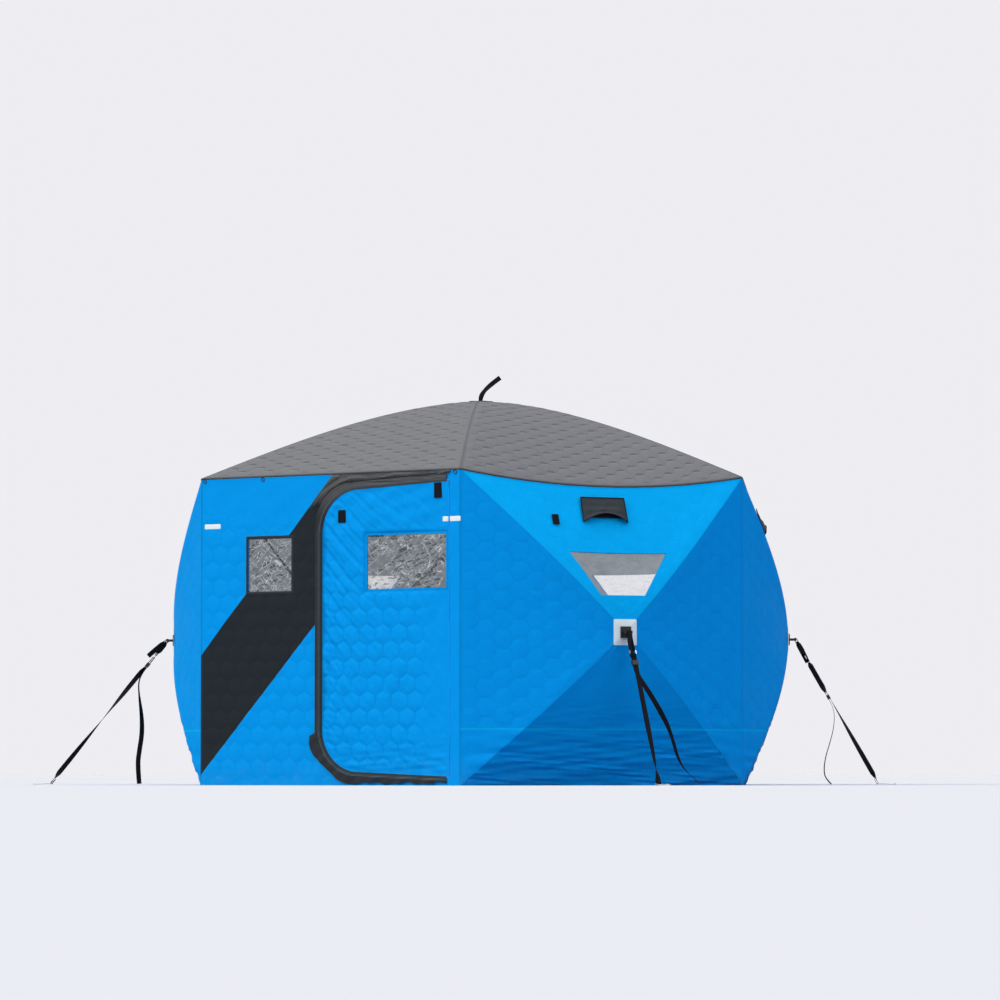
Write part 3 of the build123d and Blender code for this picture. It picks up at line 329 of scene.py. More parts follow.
def grid_normals(points, towards):
    """Normals of a grid, from the cross product of its two slopes, on the side of towards."""
    across = np.gradient(points, axis=1)
    along = np.gradient(points, axis=0)
    normals = unit(np.cross(across, along))
    side = np.sign((normals * towards).sum(-1).mean())
    return normals * side


def hexagon_cells(p, q, pitch):
    """How far a point is from its hexagon's middle, 0, to its stitched edge, 1.

    The middles stand pitch apart in rows that are pitch * 0.866 apart, each row half a pitch on."""
    period = np.array((pitch, pitch * np.sqrt(3)))
    place = np.stack((p, q), -1)
    first = place - period * np.round(place / period)
    second = place - period / 2
    second = second - period * np.round(second / period)
    nearer = (first**2).sum(-1, keepdims=True) < (second**2).sum(-1, keepdims=True)
    offset = np.abs(np.where(nearer, first, second))
    return np.maximum(offset[..., 0], offset[..., 0] / 2 + offset[..., 1] * np.sqrt(3) / 2) * 2 / pitch


def ramp(x, start, end):
    """Smooth step from 0 at start to 1 at end."""
    t = np.clip((x - start) / (end - start), 0, 1)
    return t * t * (3 - 2 * t)


def waves(p, q, seed, count, longest, shortest, heading=0.0, spread=pi):
    """Sum of seeded plane waves, scaled to about -1..1, whose crests lie within spread of heading."""
    random = np.random.default_rng(seed)
    total = np.zeros(np.broadcast(p, q).shape)
    for length, angle, phase in zip(
        np.geomspace(longest, shortest, count),
        heading + spread * (random.random(count) - 0.5),
        random.random(count) * 2 * pi,
    ):
        total += np.sin(2 * pi * (p * cos(angle) + q * sin(angle)) / length + phase)
    return total / np.sqrt(count * 2)


def running_length(points, axis):
    """Distance along a grid's lines, summed from their first points."""
    steps = np.linalg.norm(np.diff(points, axis=axis), axis=-1)
    start = np.zeros_like(np.take(steps, [0], axis=axis))
    return np.concatenate((start, np.cumsum(steps, axis=axis)), axis=axis)


class Surface:
    """Grids of points gathered into one mesh, with flat coordinates and values kept for materials."""

    def __init__(self):
        self.points, self.quads, self.flat, self.sides = [], [], [], []
        self.values = {}
        self.count = 0

    def add_points(self, points, flat, values):
        """Adds points in any grid and their values, and returns the index of the first."""
        start = self.count
        self.points.append(points.reshape(-1, 3))
        self.flat.append(flat.reshape(-1, 2))
        for name in set(values) | set(self.values):
            kept = self.values.setdefault(name, [np.zeros(start)] if start else [])
            kept.append(values.get(name, np.zeros(len(self.points[-1]))))
        self.count += len(self.points[-1])
        return start

    def add_quads(self, quads, side):
        self.quads.append(quads)
        self.sides.append(np.full(len(quads), side))

    def shell(self, outer, inner, flat, keep=None, flip=False, sides=(0, 1, 2), **values):
        """Outer and inner grid, closed by quads along every edge that only one kept cell uses."""
        rows, columns = outer.shape[:2]
        keep = np.ones((rows - 1, columns - 1), bool) if keep is None else keep
        size = rows * columns
        index = np.arange(size).reshape(rows, columns)
        cells = np.stack((index[:-1, :-1], index[:-1, 1:], index[1:, 1:], index[1:, :-1]), -1)[keep]
        if flip:
            cells = cells[:, ::-1]
        edges = np.stack((cells, np.roll(cells, -1, axis=1)), -1).reshape(-1, 2)
        keys = edges[:, 0] * size + edges[:, 1]
        alone = ~np.isin(edges[:, 1] * size + edges[:, 0], keys)
        rim = edges[alone]
        used = np.zeros(size, bool)
        used[cells.ravel()] = True
        number = np.cumsum(used) - 1
        pick = {}
        for name, value in values.items():
            pick[name] = np.broadcast_to(value, (rows, columns)).ravel()[used]
        flat = flat.reshape(-1, 2)[used]
        first = self.add_points(outer.reshape(-1, 3)[used], flat, pick)
        second = self.add_points(inner.reshape(-1, 3)[used], flat, pick)
        cells, rim = number[cells], number[rim]
        self.add_quads(first + cells, sides[0])
        self.add_quads(second + cells[:, ::-1], sides[1])
        start, end = rim[:, 0], rim[:, 1]
        around = np.stack((first + end, first + start, second + start, second + end), -1)
        self.add_quads(around, sides[2])

    def tube(self, path, radius, sides=10, up=(0, 0, 1), side=0):
        """Round profile carried along a path, with its two ends closed to a point."""
        path = np.asarray(path, float)
        tangent = unit(np.gradient(path, axis=0))
        across = unit(np.cross(tangent, np.asarray(up, float)))
        over = np.cross(across, tangent)
        angle = np.linspace(0, 2 * pi, sides, endpoint=False)
        radius = np.broadcast_to(radius, len(path))[:, None, None]
        ring = across[:, None] * np.cos(angle)[None, :, None] * radius
        ring += over[:, None] * np.sin(angle)[None, :, None] * radius
        body = path[:, None] + ring
        ends = (np.repeat(path[:1, None], sides, 1), np.repeat(path[-1:, None], sides, 1))
        rows = np.concatenate((ends[0], body, ends[1]))
        count = len(rows)
        length = running_length(path[:, None], 0)[:, 0]
        flat = np.zeros((count, sides, 2))
        flat[..., 0] = (angle * float(radius.max()))[None]
        flat[1:-1, :, 1] = length[:, None]
        flat[-1, :, 1] = length[-1]
        start = self.add_points(rows, flat, {})
        index = start + np.arange(count * sides).reshape(count, sides)
        around = np.roll(index, -1, axis=1)
        cells = np.stack((index[:-1], index[1:], around[1:], around[:-1]), -1).reshape(-1, 4)
        self.add_quads(cells, side)

    def piece(self, name, finishes, sharp=40.0, weld=0.0):
        """Makes the object in its finishes, smooth except where faces meet at more than sharp degrees."""
        points, quads = np.concatenate(self.points), np.concatenate(self.quads)
        flat, sides = np.concatenate(self.flat), np.concatenate(self.sides)
        mesh = bpy.data.meshes.new(name)
        mesh.vertices.add(len(points))
        mesh.vertices.foreach_set("co", points.astype(np.float32).ravel())
        mesh.loops.add(quads.size)
        mesh.loops.foreach_set("vertex_index", quads.astype(np.int32).ravel())
        mesh.polygons.add(len(quads))
        mesh.polygons.foreach_set("loop_start", np.arange(0, quads.size, 4, dtype=np.int32))
        for each in finishes:
            mesh.materials.append(finish(each))
        last = len(finishes) - 1
        mesh.polygons.foreach_set("material_index", np.minimum(sides, last).astype(np.int32))
        mesh.update(calc_edges=True)
        layer = mesh.uv_layers.new(name="Cut")
        layer.data.foreach_set("uv", flat[quads.ravel()].astype(np.float32).ravel())
        for key, value in self.values.items():
            data = mesh.attributes.new(key, "FLOAT", "POINT").data
            data.foreach_set("value", np.concatenate(value).astype(np.float32))
        if weld:
            weld_points(mesh, weld)
        mesh.validate()
        mesh.polygons.foreach_set("use_smooth", np.ones(len(mesh.polygons), bool))
        mesh.set_sharp_from_angle(angle=radians(sharp))
        piece = bpy.data.objects.new(name, mesh)
        bpy.context.scene.collection.objects.link(piece)
        return piece


def weld_points(mesh, distance):
    """Joins points that lie within a distance.

    It also takes out walls left inside, where a round piece meets itself."""
    work = bmesh.new()
    work.from_mesh(mesh)
    bmesh.ops.remove_doubles(work, verts=work.verts, dist=distance)
    bmesh.ops.dissolve_degenerate(work, edges=work.edges, dist=distance)
    crowded = {edge for edge in work.edges if len(edge.link_faces) > 2}
    inner = [face for face in work.faces if len(crowded.intersection(face.edges)) > 1]
    bmesh.ops.delete(work, geom=inner, context="FACES")
    work.to_mesh(mesh)
    work.free()


def inside(loops, x, y):
    """True where a point is inside an odd number of closed loops, by counting crossings."""
    result = np.zeros(x.shape, bool)
    for loop in loops:
        nearer = np.roll(loop, -1, axis=0)
        for (ax, ay), (bx, by) in zip(loop, nearer):
            if ay != by:
                crosses = (y < max(ay, by)) & (y >= min(ay, by))
                result ^= crosses & (x < ax + (y - ay) * (bx - ax) / (by - ay))
    return result


def sides_of(loops):
    """Start of every side of closed loops, and the run to its end."""
    starts = np.concatenate(loops)
    return starts, np.concatenate([np.roll(loop, -1, axis=0) for loop in loops]) - starts


def onto_loops(loops, corners, x, y, reach):
    """Moves points to the nearest place on closed loops, and the nearest point to each corner."""
    starts, runs = sides_of(loops)
    place = np.stack((x, y), -1)[:, None]
    share = ((place - starts) * runs).sum(-1) / np.maximum((runs**2).sum(-1), 1e-12)
    nearest = starts + runs * np.clip(share, 0, 1)[..., None]
    best = ((nearest - place) ** 2).sum(-1).argmin(1)
    moved = nearest[np.arange(len(x)), best]
    for corner in corners:
        gap = np.linalg.norm(moved - corner, axis=1)
        if gap.min() < reach:
            moved[gap.argmin()] = corner
    return moved[:, 0], moved[:, 1]


def cell_middles(grid):
    """Values at the middles of a grid's cells."""
    return (grid[1:, 1:] + grid[:-1, :-1]) / 2


def cut_grid(loops, corners, step):
    """Grid over closed loops: the cells inside, with their border points moved on to the loops."""
    every = np.concatenate(loops)
    low, high = every.min(0), every.max(0)
    counts = np.maximum(np.ceil((high - low) / step).astype(int), 2) + 1
    x, y = np.meshgrid(np.linspace(low[0], high[0], counts[0]), np.linspace(low[1], high[1], counts[1]))
    keep = inside(loops, cell_middles(x), cell_middles(y))
    padded = np.pad(keep, 1)
    around = np.stack((padded[:-1, :-1], padded[:-1, 1:], padded[1:, :-1], padded[1:, 1:]))
    border = around.any(0) & ~around.all(0)
    x[border], y[border] = onto_loops(loops, corners, x[border], y[border], step)
    return x, y, keep


def rounded(corners, radii, steps=9):
    """Closed loop through corners, each rounded by an arc of its radius."""
    corners = np.asarray(corners, float)
    loop = []
    around = zip(np.roll(corners, 1, 0), corners, np.roll(corners, -1, 0), radii)
    for before, here, after, radius in around:
        if not radius:
            loop.append(here[None])
            continue
        back, on = unit(before - here), unit(after - here)
        half = np.arccos(np.clip(back @ on, -1, 1)) / 2
        middle = here + unit(back + on) * radius / np.sin(half)
        first = here + back * radius / np.tan(half) - middle
        last = here + on * radius / np.tan(half) - middle
        turn = np.arctan2(first[0] * last[1] - first[1] * last[0], first @ last)
        angle = np.linspace(0, turn, steps)[:, None]
        side = np.array((-first[1], first[0]))
        loop.append(middle + first * np.cos(angle) + side * np.sin(angle))
    return np.concatenate(loop)


class Wiring:
    """Short words for building a node tree: each call adds a node and joins its inputs."""

    def __init__(self, tree):
        self.tree = tree

    def put(self, socket, value):
        """Joins an input to another node's output, or gives it a constant."""
        if isinstance(value, bpy.types.NodeSocket):
            self.tree.links.new(value, socket)
        else:
            socket.default_value = value

    def fill(self, sockets, **values):
        """Fills inputs by their names; underscores stand for spaces."""
        for name, value in values.items():
            self.put(sockets[name.replace("_", " ")], value)

    def node(self, kind, values=None, **settings):
        node = self.tree.nodes.new("ShaderNode" + kind)
        for name, value in settings.items():
            setattr(node, name, value)
        for key, value in (values or {}).items():
            self.put(node.inputs[key], value)
        return node

    def math(self, operation, first, second=0.0, third=0.0, clamp=False):
        values = {0: first, 1: second, 2: third}
        return self.node("Math", values, operation=operation, use_clamp=clamp).outputs[0]

    def times(self, first, second, clamp=False):
        return self.math("MULTIPLY", first, second, clamp=clamp)

    def less(self, value):
        """1 less a value."""
        return self.math("SUBTRACT", 1.0, value)

    def vector(self, operation, first, second=(0, 0, 0), third=(0, 0, 0), scale=None):
        values = {0: first, 1: second, 2: third}
        if scale is not None:
            values["Scale"] = scale
        node = self.node("VectorMath", values, operation=operation)
        return node.outputs["Value" if operation == "LENGTH" else "Vector"]

    def split(self, vector):
        """The three parts of a vector."""
        return self.node("SeparateXYZ", {0: vector}).outputs

    def place(self):
        """Object coordinates, which are the row frame's, as every object stands at its origin."""
        return self.node("TexCoord").outputs["Object"]

    def value(self, name):
        """A value kept on the mesh's points."""
        return self.node("Attribute", attribute_name=name).outputs["Fac"]

    def mix(self, share, first, second):
        """Colour between first and second."""
        node = self.node("Mix", {0: share}, data_type="RGBA", clamp_factor=True)
        for key, value in ((6, first), (7, second)):
            constant = not isinstance(value, bpy.types.NodeSocket)
            self.put(node.inputs[key], (*tuple(value)[:3], 1) if constant else value)
        return node.outputs[2]

    def band(self, value, start, end):
        """Smooth mask that rises from 0 at start to 1 at end."""
        values = {0: value, 1: start, 2: end, 3: 0.0, 4: 1.0}
        return self.node("MapRange", values, interpolation_type="SMOOTHSTEP").outputs[0]

    def noise(self, vector, scale, detail=2.0, roughness=0.5, distortion=0.0):
        values = {
            "Vector": vector, "Scale": scale, "Detail": detail, "Roughness": roughness,
            "Distortion": distortion,
        }
        return self.node("TexNoise", values).outputs[0]

    def warped(self, vector, scale, detail, reach):
        """A place shifted by a noise of a scale, up to half its reach each way."""
        values = {"Vector": vector, "Scale": scale, "Detail": detail}
        noise = self.node("TexNoise", values).outputs[1]
        shift = self.vector("SUBTRACT", noise, (0.5, 0.5, 0.5))
        return self.vector("ADD", vector, self.vector("SCALE", shift, scale=reach))

    def bump(self, height, distance, strength=1.0, normal=None):
        values = {"Height": height, "Distance": distance, "Strength": strength}
        if normal is not None:
            values["Normal"] = normal
        return self.node("Bump", values).outputs[0]

    def use(self, group, **values):
        """Places a shared group; underscores in names stand for spaces."""
        node = self.node("Group", node_tree=group)
        self.fill(node.inputs, **values)
        return node.outputs

    def seen(self):
        """1 for rays that the camera sends out, also by a reflection or through a window."""
        path = self.node("LightPath").outputs
        seen = self.math("MAXIMUM", path["Is Camera Ray"], path["Is Glossy Ray"])
        return self.math("MAXIMUM", seen, path["Is Transmission Ray"])


def new_group(name, inputs, outputs):
    """Shared effect: a node group of numbers; an input without a value is a vector.

    Returns the group, its wiring and its two ends."""
    group = bpy.data.node_groups.new(name, "ShaderNodeTree")
    number = "NodeSocketFloat"
    for label, value in inputs.items():
        kind = "NodeSocketVector" if value is None else number
        socket = group.interface.new_socket(name=label, in_out="INPUT", socket_type=kind)
        if value is not None:
            socket.default_value = value
    for label in outputs:
        group.interface.new_socket(name=label, in_out="OUTPUT", socket_type=number)
    start = group.nodes.new("NodeGroupInput")
    end = group.nodes.new("NodeGroupOutput")
    return group, Wiring(group), start.outputs, end.inputs


def quilting_group():
    """Stitched hexagons: pillow height, stitch lines, and masks of each pillow's two straight sides.

    The far side is the one at the greater first coordinate of the cloth."""
    group, wire, given, result = new_group(
        "Hexagon quilting", {"Vector": None, "Pitch": 0.097}, ("Height", "Stitch", "Far side", "Near side")
    )
    pitch = given["Pitch"]
    long = wire.times(pitch, np.sqrt(3))
    period = wire.node("CombineXYZ", {0: pitch, 1: long, 2: 1.0}).outputs[0]
    half = wire.vector("SCALE", period, scale=0.5)
    low = wire.vector("SCALE", period, scale=-0.5)
    flat = wire.vector("MULTIPLY", given["Vector"], (1, 1, 0))
    flat = wire.vector("MULTIPLY", wire.warped(flat, 9.0, 1.0, 0.010), (1, 1, 0))
    first = wire.vector("WRAP", flat, half, low)
    second = wire.vector("WRAP", wire.vector("SUBTRACT", flat, half), half, low)
    first = wire.vector("MULTIPLY", first, (1, 1, 0))
    second = wire.vector("MULTIPLY", second, (1, 1, 0))
    nearer = wire.math("LESS_THAN", wire.vector("LENGTH", first), wire.vector("LENGTH", second))
    pick = wire.node("Mix", {0: nearer, 4: second, 5: first}, data_type="VECTOR").outputs[1]
    size = wire.split(wire.vector("ABSOLUTE", pick))
    slanted = wire.math("MULTIPLY_ADD", size[1], 0.8660254, wire.times(size[0], 0.5))
    edge = wire.math("DIVIDE", wire.times(wire.math("MAXIMUM", size[0], slanted), 2.0), pitch)
    straight = wire.band(wire.math("SUBTRACT", size[0], slanted), 0.0, 0.006)
    along = wire.math("DIVIDE", wire.split(pick)[0], pitch)
    for side, sign in (("Far side", 1.0), ("Near side", -1.0)):
        wire.put(result[side], wire.times(straight, wire.band(wire.times(along, sign), 0.27, 0.47)))
    wire.fill(result, Height=wire.less(wire.math("POWER", edge, 5.0)), Stitch=wire.band(edge, 0.86, 0.985))
    return group


def weave_group():
    """Plain weave: the height of its crossing threads, and slubs along them."""
    group, wire, given, result = new_group(
        "Plain weave", {"Vector": None, "Thread": 0.0016}, ("Height", "Slub")
    )
    turns = wire.math("DIVIDE", 2 * pi, given["Thread"])
    place = wire.split(wire.vector("SCALE", given["Vector"], scale=turns))
    warp, weft = (wire.math("ABSOLUTE", wire.math("SINE", place[axis])) for axis in (0, 1))
    over = wire.math("SINE", wire.math("ADD", wire.times(place[0], 0.5), wire.times(place[1], 0.5)))
    over = wire.math("MULTIPLY_ADD", over, 0.5, 0.5)
    height = wire.math("ADD", wire.times(warp, over), wire.times(weft, wire.less(over)))
    long = wire.vector("MULTIPLY", given["Vector"], (260.0, 14.0, 1.0))
    wire.fill(result, Height=height, Slub=wire.noise(long, 1.0, 2.0))
    return group


def wrinkle_group():
    """Soft creases of loose cloth: two warped noises, the sharper one folded at its middle."""
    group, wire, given, result = new_group(
        "Cloth wrinkles", {"Vector": None, "Scale": 6.0, "Sharpness": 0.5}, ("Height",)
    )
    broad = wire.noise(given["Vector"], given["Scale"], 3.0, 0.5, 0.6)
    fine = wire.noise(given["Vector"], wire.times(given["Scale"], 2.7), 3.0, 0.55, 0.9)
    ridge = wire.math("ABSOLUTE", wire.math("SUBTRACT", wire.times(fine, 2.0), 1.0))
    wire.fill(result, Height=wire.math("ADD", broad, wire.times(wire.less(ridge), given["Sharpness"])))
    return group


def age_group():
    """Handling marks: a mask of faint dust near the ground and of rubbed, uneven patches."""
    group, wire, given, result = new_group("Dust and rubbing", {"Ground": 0.3}, ("Dust", "Rubbed"))
    place = wire.place()
    height = wire.math("DIVIDE", wire.split(place)[2], given["Ground"])
    low = wire.math("SUBTRACT", 1.0, height, clamp=True)
    spots = wire.noise(place, 14.0, 5.0, 0.65)
    dust = wire.times(wire.math("POWER", low, 2.0), wire.band(spots, 0.35, 0.75))
    rubbed = wire.band(wire.noise(place, 5.0, 4.0, 0.6), 0.3, 0.8)
    wire.fill(result, Dust=dust, Rubbed=rubbed)
    return group


def new_material(name):
    """Empty material with its wiring, its shader's inputs and the cloth's own coordinates."""
    material = bpy.data.materials.new(name)
    material.use_nodes = True
    tree = material.node_tree
    tree.nodes.clear()
    wire = Wiring(tree)
    shader = wire.node("BsdfPrincipled")
    wire.node("OutputMaterial", {0: shader.outputs[0]})
    cut = wire.node("UVMap", uv_map="Cut").outputs[0]
    return material, wire, shader.inputs, cut


def scaled(colour, factor):
    return tuple(min(1.0, part * factor) for part in colour)


# Finish: its kind, the material's name, the panel's colour and the values that differ from the usual
RECIPES = {
    "door_cloth": ("quilted", "Blue door cloth", "blue", {"puff": 0.30, "stitch_shade": 0.14}),
    "door_wall_cloth": ("quilted", "Blue cloth with stripe", "blue", {"striped": True}),
    "blue_cloth": (
        "quilted", "Blue quilted cloth", "blue", {"puff": 0.24, "stitch_shade": 0.09, "skirted": True}
    ),
    # Upper gores: the same quilted blue, made paler as painted sky light.
    "sky_lit_gore_cloth": (
        "quilted", "Quilted blue with painted sky light", "sky_lit_blue", {"puff": 0.20, "stitch_shade": 0.07}
    ),
    "roof_cloth": (
        "quilted", "Grey quilted cloth", "roof",
        {"rough": 0.62, "puff": 0.35, "stitch_shade": 0.14, "dashes": 0.75},
    ),
    "charcoal_cloth": ("plain", "Charcoal cloth", "charcoal", {"fading": (1.34, 1.48, 0.85)}),
    "header_cloth": (
        "plain", "Header cloth", "charcoal", {"crease": 0.9, "scale": 12.0, "fading": (1.385, 1.50, 1.0)}
    ),
    "hood_cloth": ("plain", "Hood cloth", "hood", {"crease": 0.35}),
    "patch_cloth": ("plain", "Hub patch cloth", "patch", {"rough": 0.55, "crease": 0.25}),
    "blue_piping": ("plain", "Blue piping", "blue", {"rough": 0.55, "crease": 0.3}),
    "piping": ("plain", "Dark piping", "webbing", {"crease": 0.3}),
    "crinkled_vinyl": (
        "clear", "Crinkled clear vinyl", "vinyl",
        {"crumple": 1.0, "clearness": 0.86, "low": 0.02, "high": 0.40},
    ),
    "smooth_vinyl": (
        "clear", "Smooth clear vinyl", "vinyl",
        {"crumple": 0.16, "clearness": 0.93, "low": 1.0, "high": 1.4},
    ),
    "plastic": ("solid", "Moulded black plastic", "plastic", {"rough": 0.45}),
    "steel": (
        "solid", "Zinc plated steel", "steel", {"rough": 0.34, "metal": 1.0, "grain": 0.25, "scale": 400.0}
    ),
    "fibreglass": ("solid", "Fibreglass pole", "pole", {"rough": 0.4, "grain": 0.3, "scale": 300.0}),
}


class Finishes:
    """Every material of the hut, each built when it is first asked for."""

    def __init__(self, hut, colours, look):
        self.shape = hut
        self.colours = colours
        self.look = look
        self.quilting = quilting_group()
        self.weave = weave_group()
        self.wrinkles = wrinkle_group()
        self.age = age_group()
        self.made = {}

    def get(self, name):
        """A material by its name: from its recipe, or else from the method of that name."""
        if name not in self.made:
            if name in RECIPES:
                kind, label, colour, values = RECIPES[name]
                self.made[name] = getattr(self, kind)(label, getattr(self.colours, colour), **values)
            else:
                self.made[name] = getattr(self, name)()
        return self.made[name]

    def quilted(
        self, name, colour, rough=0.58, puff=0.25, stitch_shade=0.12, striped=False, skirted=False,
        dashes=0.0,
    ):
        """Quilted cloth: stitched hexagons, weave, soft wrinkles and a little dust at the foot.

        dashes darkens each pillow's far side and lightens its near one, as the sky does on the roof.
        skirted draws the thin pale seam where the quilting ends over the skirt."""
        material, wire, shader, cut = new_material(name)
        share, seam = wire.value("quilted"), wire.value("seam")
        cells = wire.use(self.quilting, Vector=cut, Pitch=self.look.pitch)
        threads = wire.use(self.weave, Vector=cut, Thread=self.look.weave)
        creases = wire.use(self.wrinkles, Vector=cut, Scale=5.0, Sharpness=0.35)["Height"]
        marks = wire.use(self.age, Ground=0.25)
        stitch = wire.times(cells["Stitch"], share)
        base = wire.mix(wire.times(threads["Slub"], 0.5), scaled(colour, 0.93), scaled(colour, 1.07))
        if striped:
            stripe = self.fading(wire, self.colours.charcoal, 1.40, 1.56, 0.45)
            base = wire.mix(self.stripe_mask(wire), base, stripe)
        # Stitch lines darkened: painted shade in the valleys of the quilting.
        shade = wire.vector("SCALE", base, scale=0.42)
        base = wire.mix(wire.times(stitch, stitch_shade), base, shade)
        if dashes:
            sides = (("Far side", dashes, shade), ("Near side", dashes * 0.5, scaled(colour, 1.5)))
            for side, most, tint in sides:
                base = wire.mix(wire.times(wire.times(cells[side], share), most), base, tint)
        if skirted:
            above = wire.math("SUBTRACT", wire.split(wire.place())[2], self.shape.skirt)
            thread = wire.less(wire.band(wire.math("ABSOLUTE", above), 0.0012, 0.0045))
            base = wire.mix(wire.times(thread, 0.45), base, scaled(colour, 1.9))
        # Seam above 0 darkens the gore seams and, on the door, paints shadow along its left edge; below 0
        # it draws a pale line.
        base = wire.mix(wire.times(seam, 0.5, clamp=True), base, scaled(colour, 0.35))
        base = wire.mix(wire.times(seam, -0.30, clamp=True), base, scaled(colour, 1.9))
        base = wire.mix(wire.times(marks["Dust"], 0.03), base, (0.55, 0.57, 0.58))
        height = wire.times(cells["Height"], wire.times(share, puff))
        height = wire.math("SUBTRACT", height, wire.times(wire.math("ABSOLUTE", seam), 0.4))
        normal = wire.bump(height, 0.004, 0.8)
        normal = wire.bump(creases, 0.006, 0.55, normal)
        normal = wire.bump(threads["Height"], 0.0003, 0.35, normal)
        roughness = wire.math("MULTIPLY_ADD", marks["Rubbed"], 0.12, rough)
        wire.fill(shader, Base_Color=base, Roughness=roughness, Specular_IOR_Level=0.02, Normal=normal)
        return material

    def fading(self, wire, colour, low, high, most):
        """A dark cloth's colour, which turns to the header's between two heights."""
        share = wire.times(wire.band(wire.split(wire.place())[2], low, high), most)
        return wire.mix(share, colour, self.colours.header)

    def stripe_mask(self, wire):
        """1 between the two slanting edges of the charcoal stripe on the door wall."""
        hut, place = self.shape, wire.split(wire.place())
        top = wire.math("MULTIPLY_ADD", place[0], STRIPE_SLOPE, hut.wall_top - hut.stripe_x * STRIPE_SLOPE)
        foot = STRIPE_FOOT + hut.half * STRIPE_FOOT_SLOPE
        foot = wire.math("MULTIPLY_ADD", place[0], STRIPE_FOOT_SLOPE, foot)
        below = wire.band(wire.math("SUBTRACT", top, place[2]), -0.001, 0.001)
        above = wire.band(wire.math("SUBTRACT", place[2], foot), -0.001, 0.001)
        return wire.times(below, above)

    def plain(self, name, colour, rough=0.6, crease=0.5, scale=7.0, fading=None):
        """Unquilted cloth with weave, creases and slightly uneven dye; seam is pale below 0, dark above,
        and in the header's folds its dark is painted shade.
        """
        material, wire, shader, cut = new_material(name)
        threads = wire.use(self.weave, Vector=cut, Thread=self.look.weave)
        creases = wire.use(self.wrinkles, Vector=cut, Scale=scale, Sharpness=0.6)["Height"]
        marks = wire.use(self.age, Ground=0.2)
        base = wire.mix(threads["Slub"], scaled(colour, 0.86), scaled(colour, 1.16))
        if fading is not None:
            base = self.fading(wire, base, *fading)
        base = wire.mix(wire.times(marks["Rubbed"], 0.2), base, scaled(colour, 1.4))
        seam = wire.value("seam")
        # Seam below 0 draws a pale line; above 0 it darkens, which in the header's folds is painted shade.
        base = wire.mix(wire.times(seam, -0.8, clamp=True), base, scaled(colour, 4.5))
        base = wire.mix(wire.times(seam, 0.55, clamp=True), base, self.colours.charcoal)
        normal = wire.bump(threads["Height"], 0.0003, 0.5, wire.bump(creases, 0.008, crease))
        roughness = wire.math("MULTIPLY_ADD", marks["Rubbed"], 0.15, rough)
        wire.fill(shader, Base_Color=base, Roughness=roughness, Specular_IOR_Level=0.12, Normal=normal)
        return material

    def roof_trim(self):
        # Dark grey: the cap's own cloth, and on the eave piping a painted shadow line.
        return self.plain("Roof trim cloth", scaled(self.colours.roof, 0.45))

    def lining(self):
        """Inner face of the cloth: pale grey, with a faint painted glow, brighter on its creases, for the
        light that comes through.
        """
        material, wire, shader, cut = new_material("Lining")
        colour = self.colours.lining
        threads = wire.use(self.weave, Vector=cut, Thread=self.look.weave)
        creases = wire.use(self.wrinkles, Vector=cut, Scale=4.0, Sharpness=0.4)["Height"]
        base = wire.mix(threads["Slub"], scaled(colour, 0.85), scaled(colour, 1.1))
        # Painted light: the emission glows as if lit through the cloth, more on the creases.
        glow = wire.mix(creases, scaled(colour, 0.6), scaled(colour, 1.2))
        roughness = wire.math("MULTIPLY_ADD", threads["Slub"], 0.1, 0.7)
        wire.fill(shader, Base_Color=base, Emission_Color=glow, Emission_Strength=0.70, Roughness=roughness)
        wire.fill(shader, Normal=wire.bump(creases, 0.006, 0.6))
        return material

    def clear(self, name, colour, crumple, clearness, low, high):
        """Clear vinyl: nearly see-through, with painted highlights and painted shade on its creases, and a
        haze that differs by facet as painted shading.
        """
        material, wire, shader, cut = new_material(name)
        place = wire.warped(cut, 12.0, 2.0, 0.024)
        creases, facets = [], []
        for turn, grain, thin in ((-0.95, 34.0, 0.045), (0.75, 66.0, 0.06), (-1.30, 120.0, 0.08)):
            values = {0: place, 2: (0, 0, turn), 3: (1 / grain, 4.0 / grain, 1)}
            turned = wire.node("Mapping", values, vector_type="TEXTURE").outputs[0]
            values = {"Vector": turned, "Scale": 1.0}
            edge = wire.node("TexVoronoi", values, feature="DISTANCE_TO_EDGE").outputs[0]
            cell = wire.node("TexVoronoi", values, feature="F1").outputs[1]
            creases.append(wire.less(wire.band(edge, 0.0, thin)))
            facets.append(wire.node("SeparateColor", {0: cell}).outputs[0])
        # lit: painted highlights where the creases would catch the light.
        lit = wire.times(creases[0], wire.band(wire.noise(cut, 26.0, 3.0, 0.6), 0.38, 0.50))
        lit = wire.math("MAXIMUM", lit, wire.times(creases[1], wire.band(facets[0], 0.45, 0.75)))
        lit = wire.math("MAXIMUM", lit, wire.times(creases[2], wire.band(facets[1], 0.60, 0.80)))
        # A real haze, and a brightness that differs by facet as painted shading of their tilts.
        haze_and_facet_shade = wire.math("MULTIPLY_ADD", facets[1], 0.55, wire.times(facets[2], 0.45))
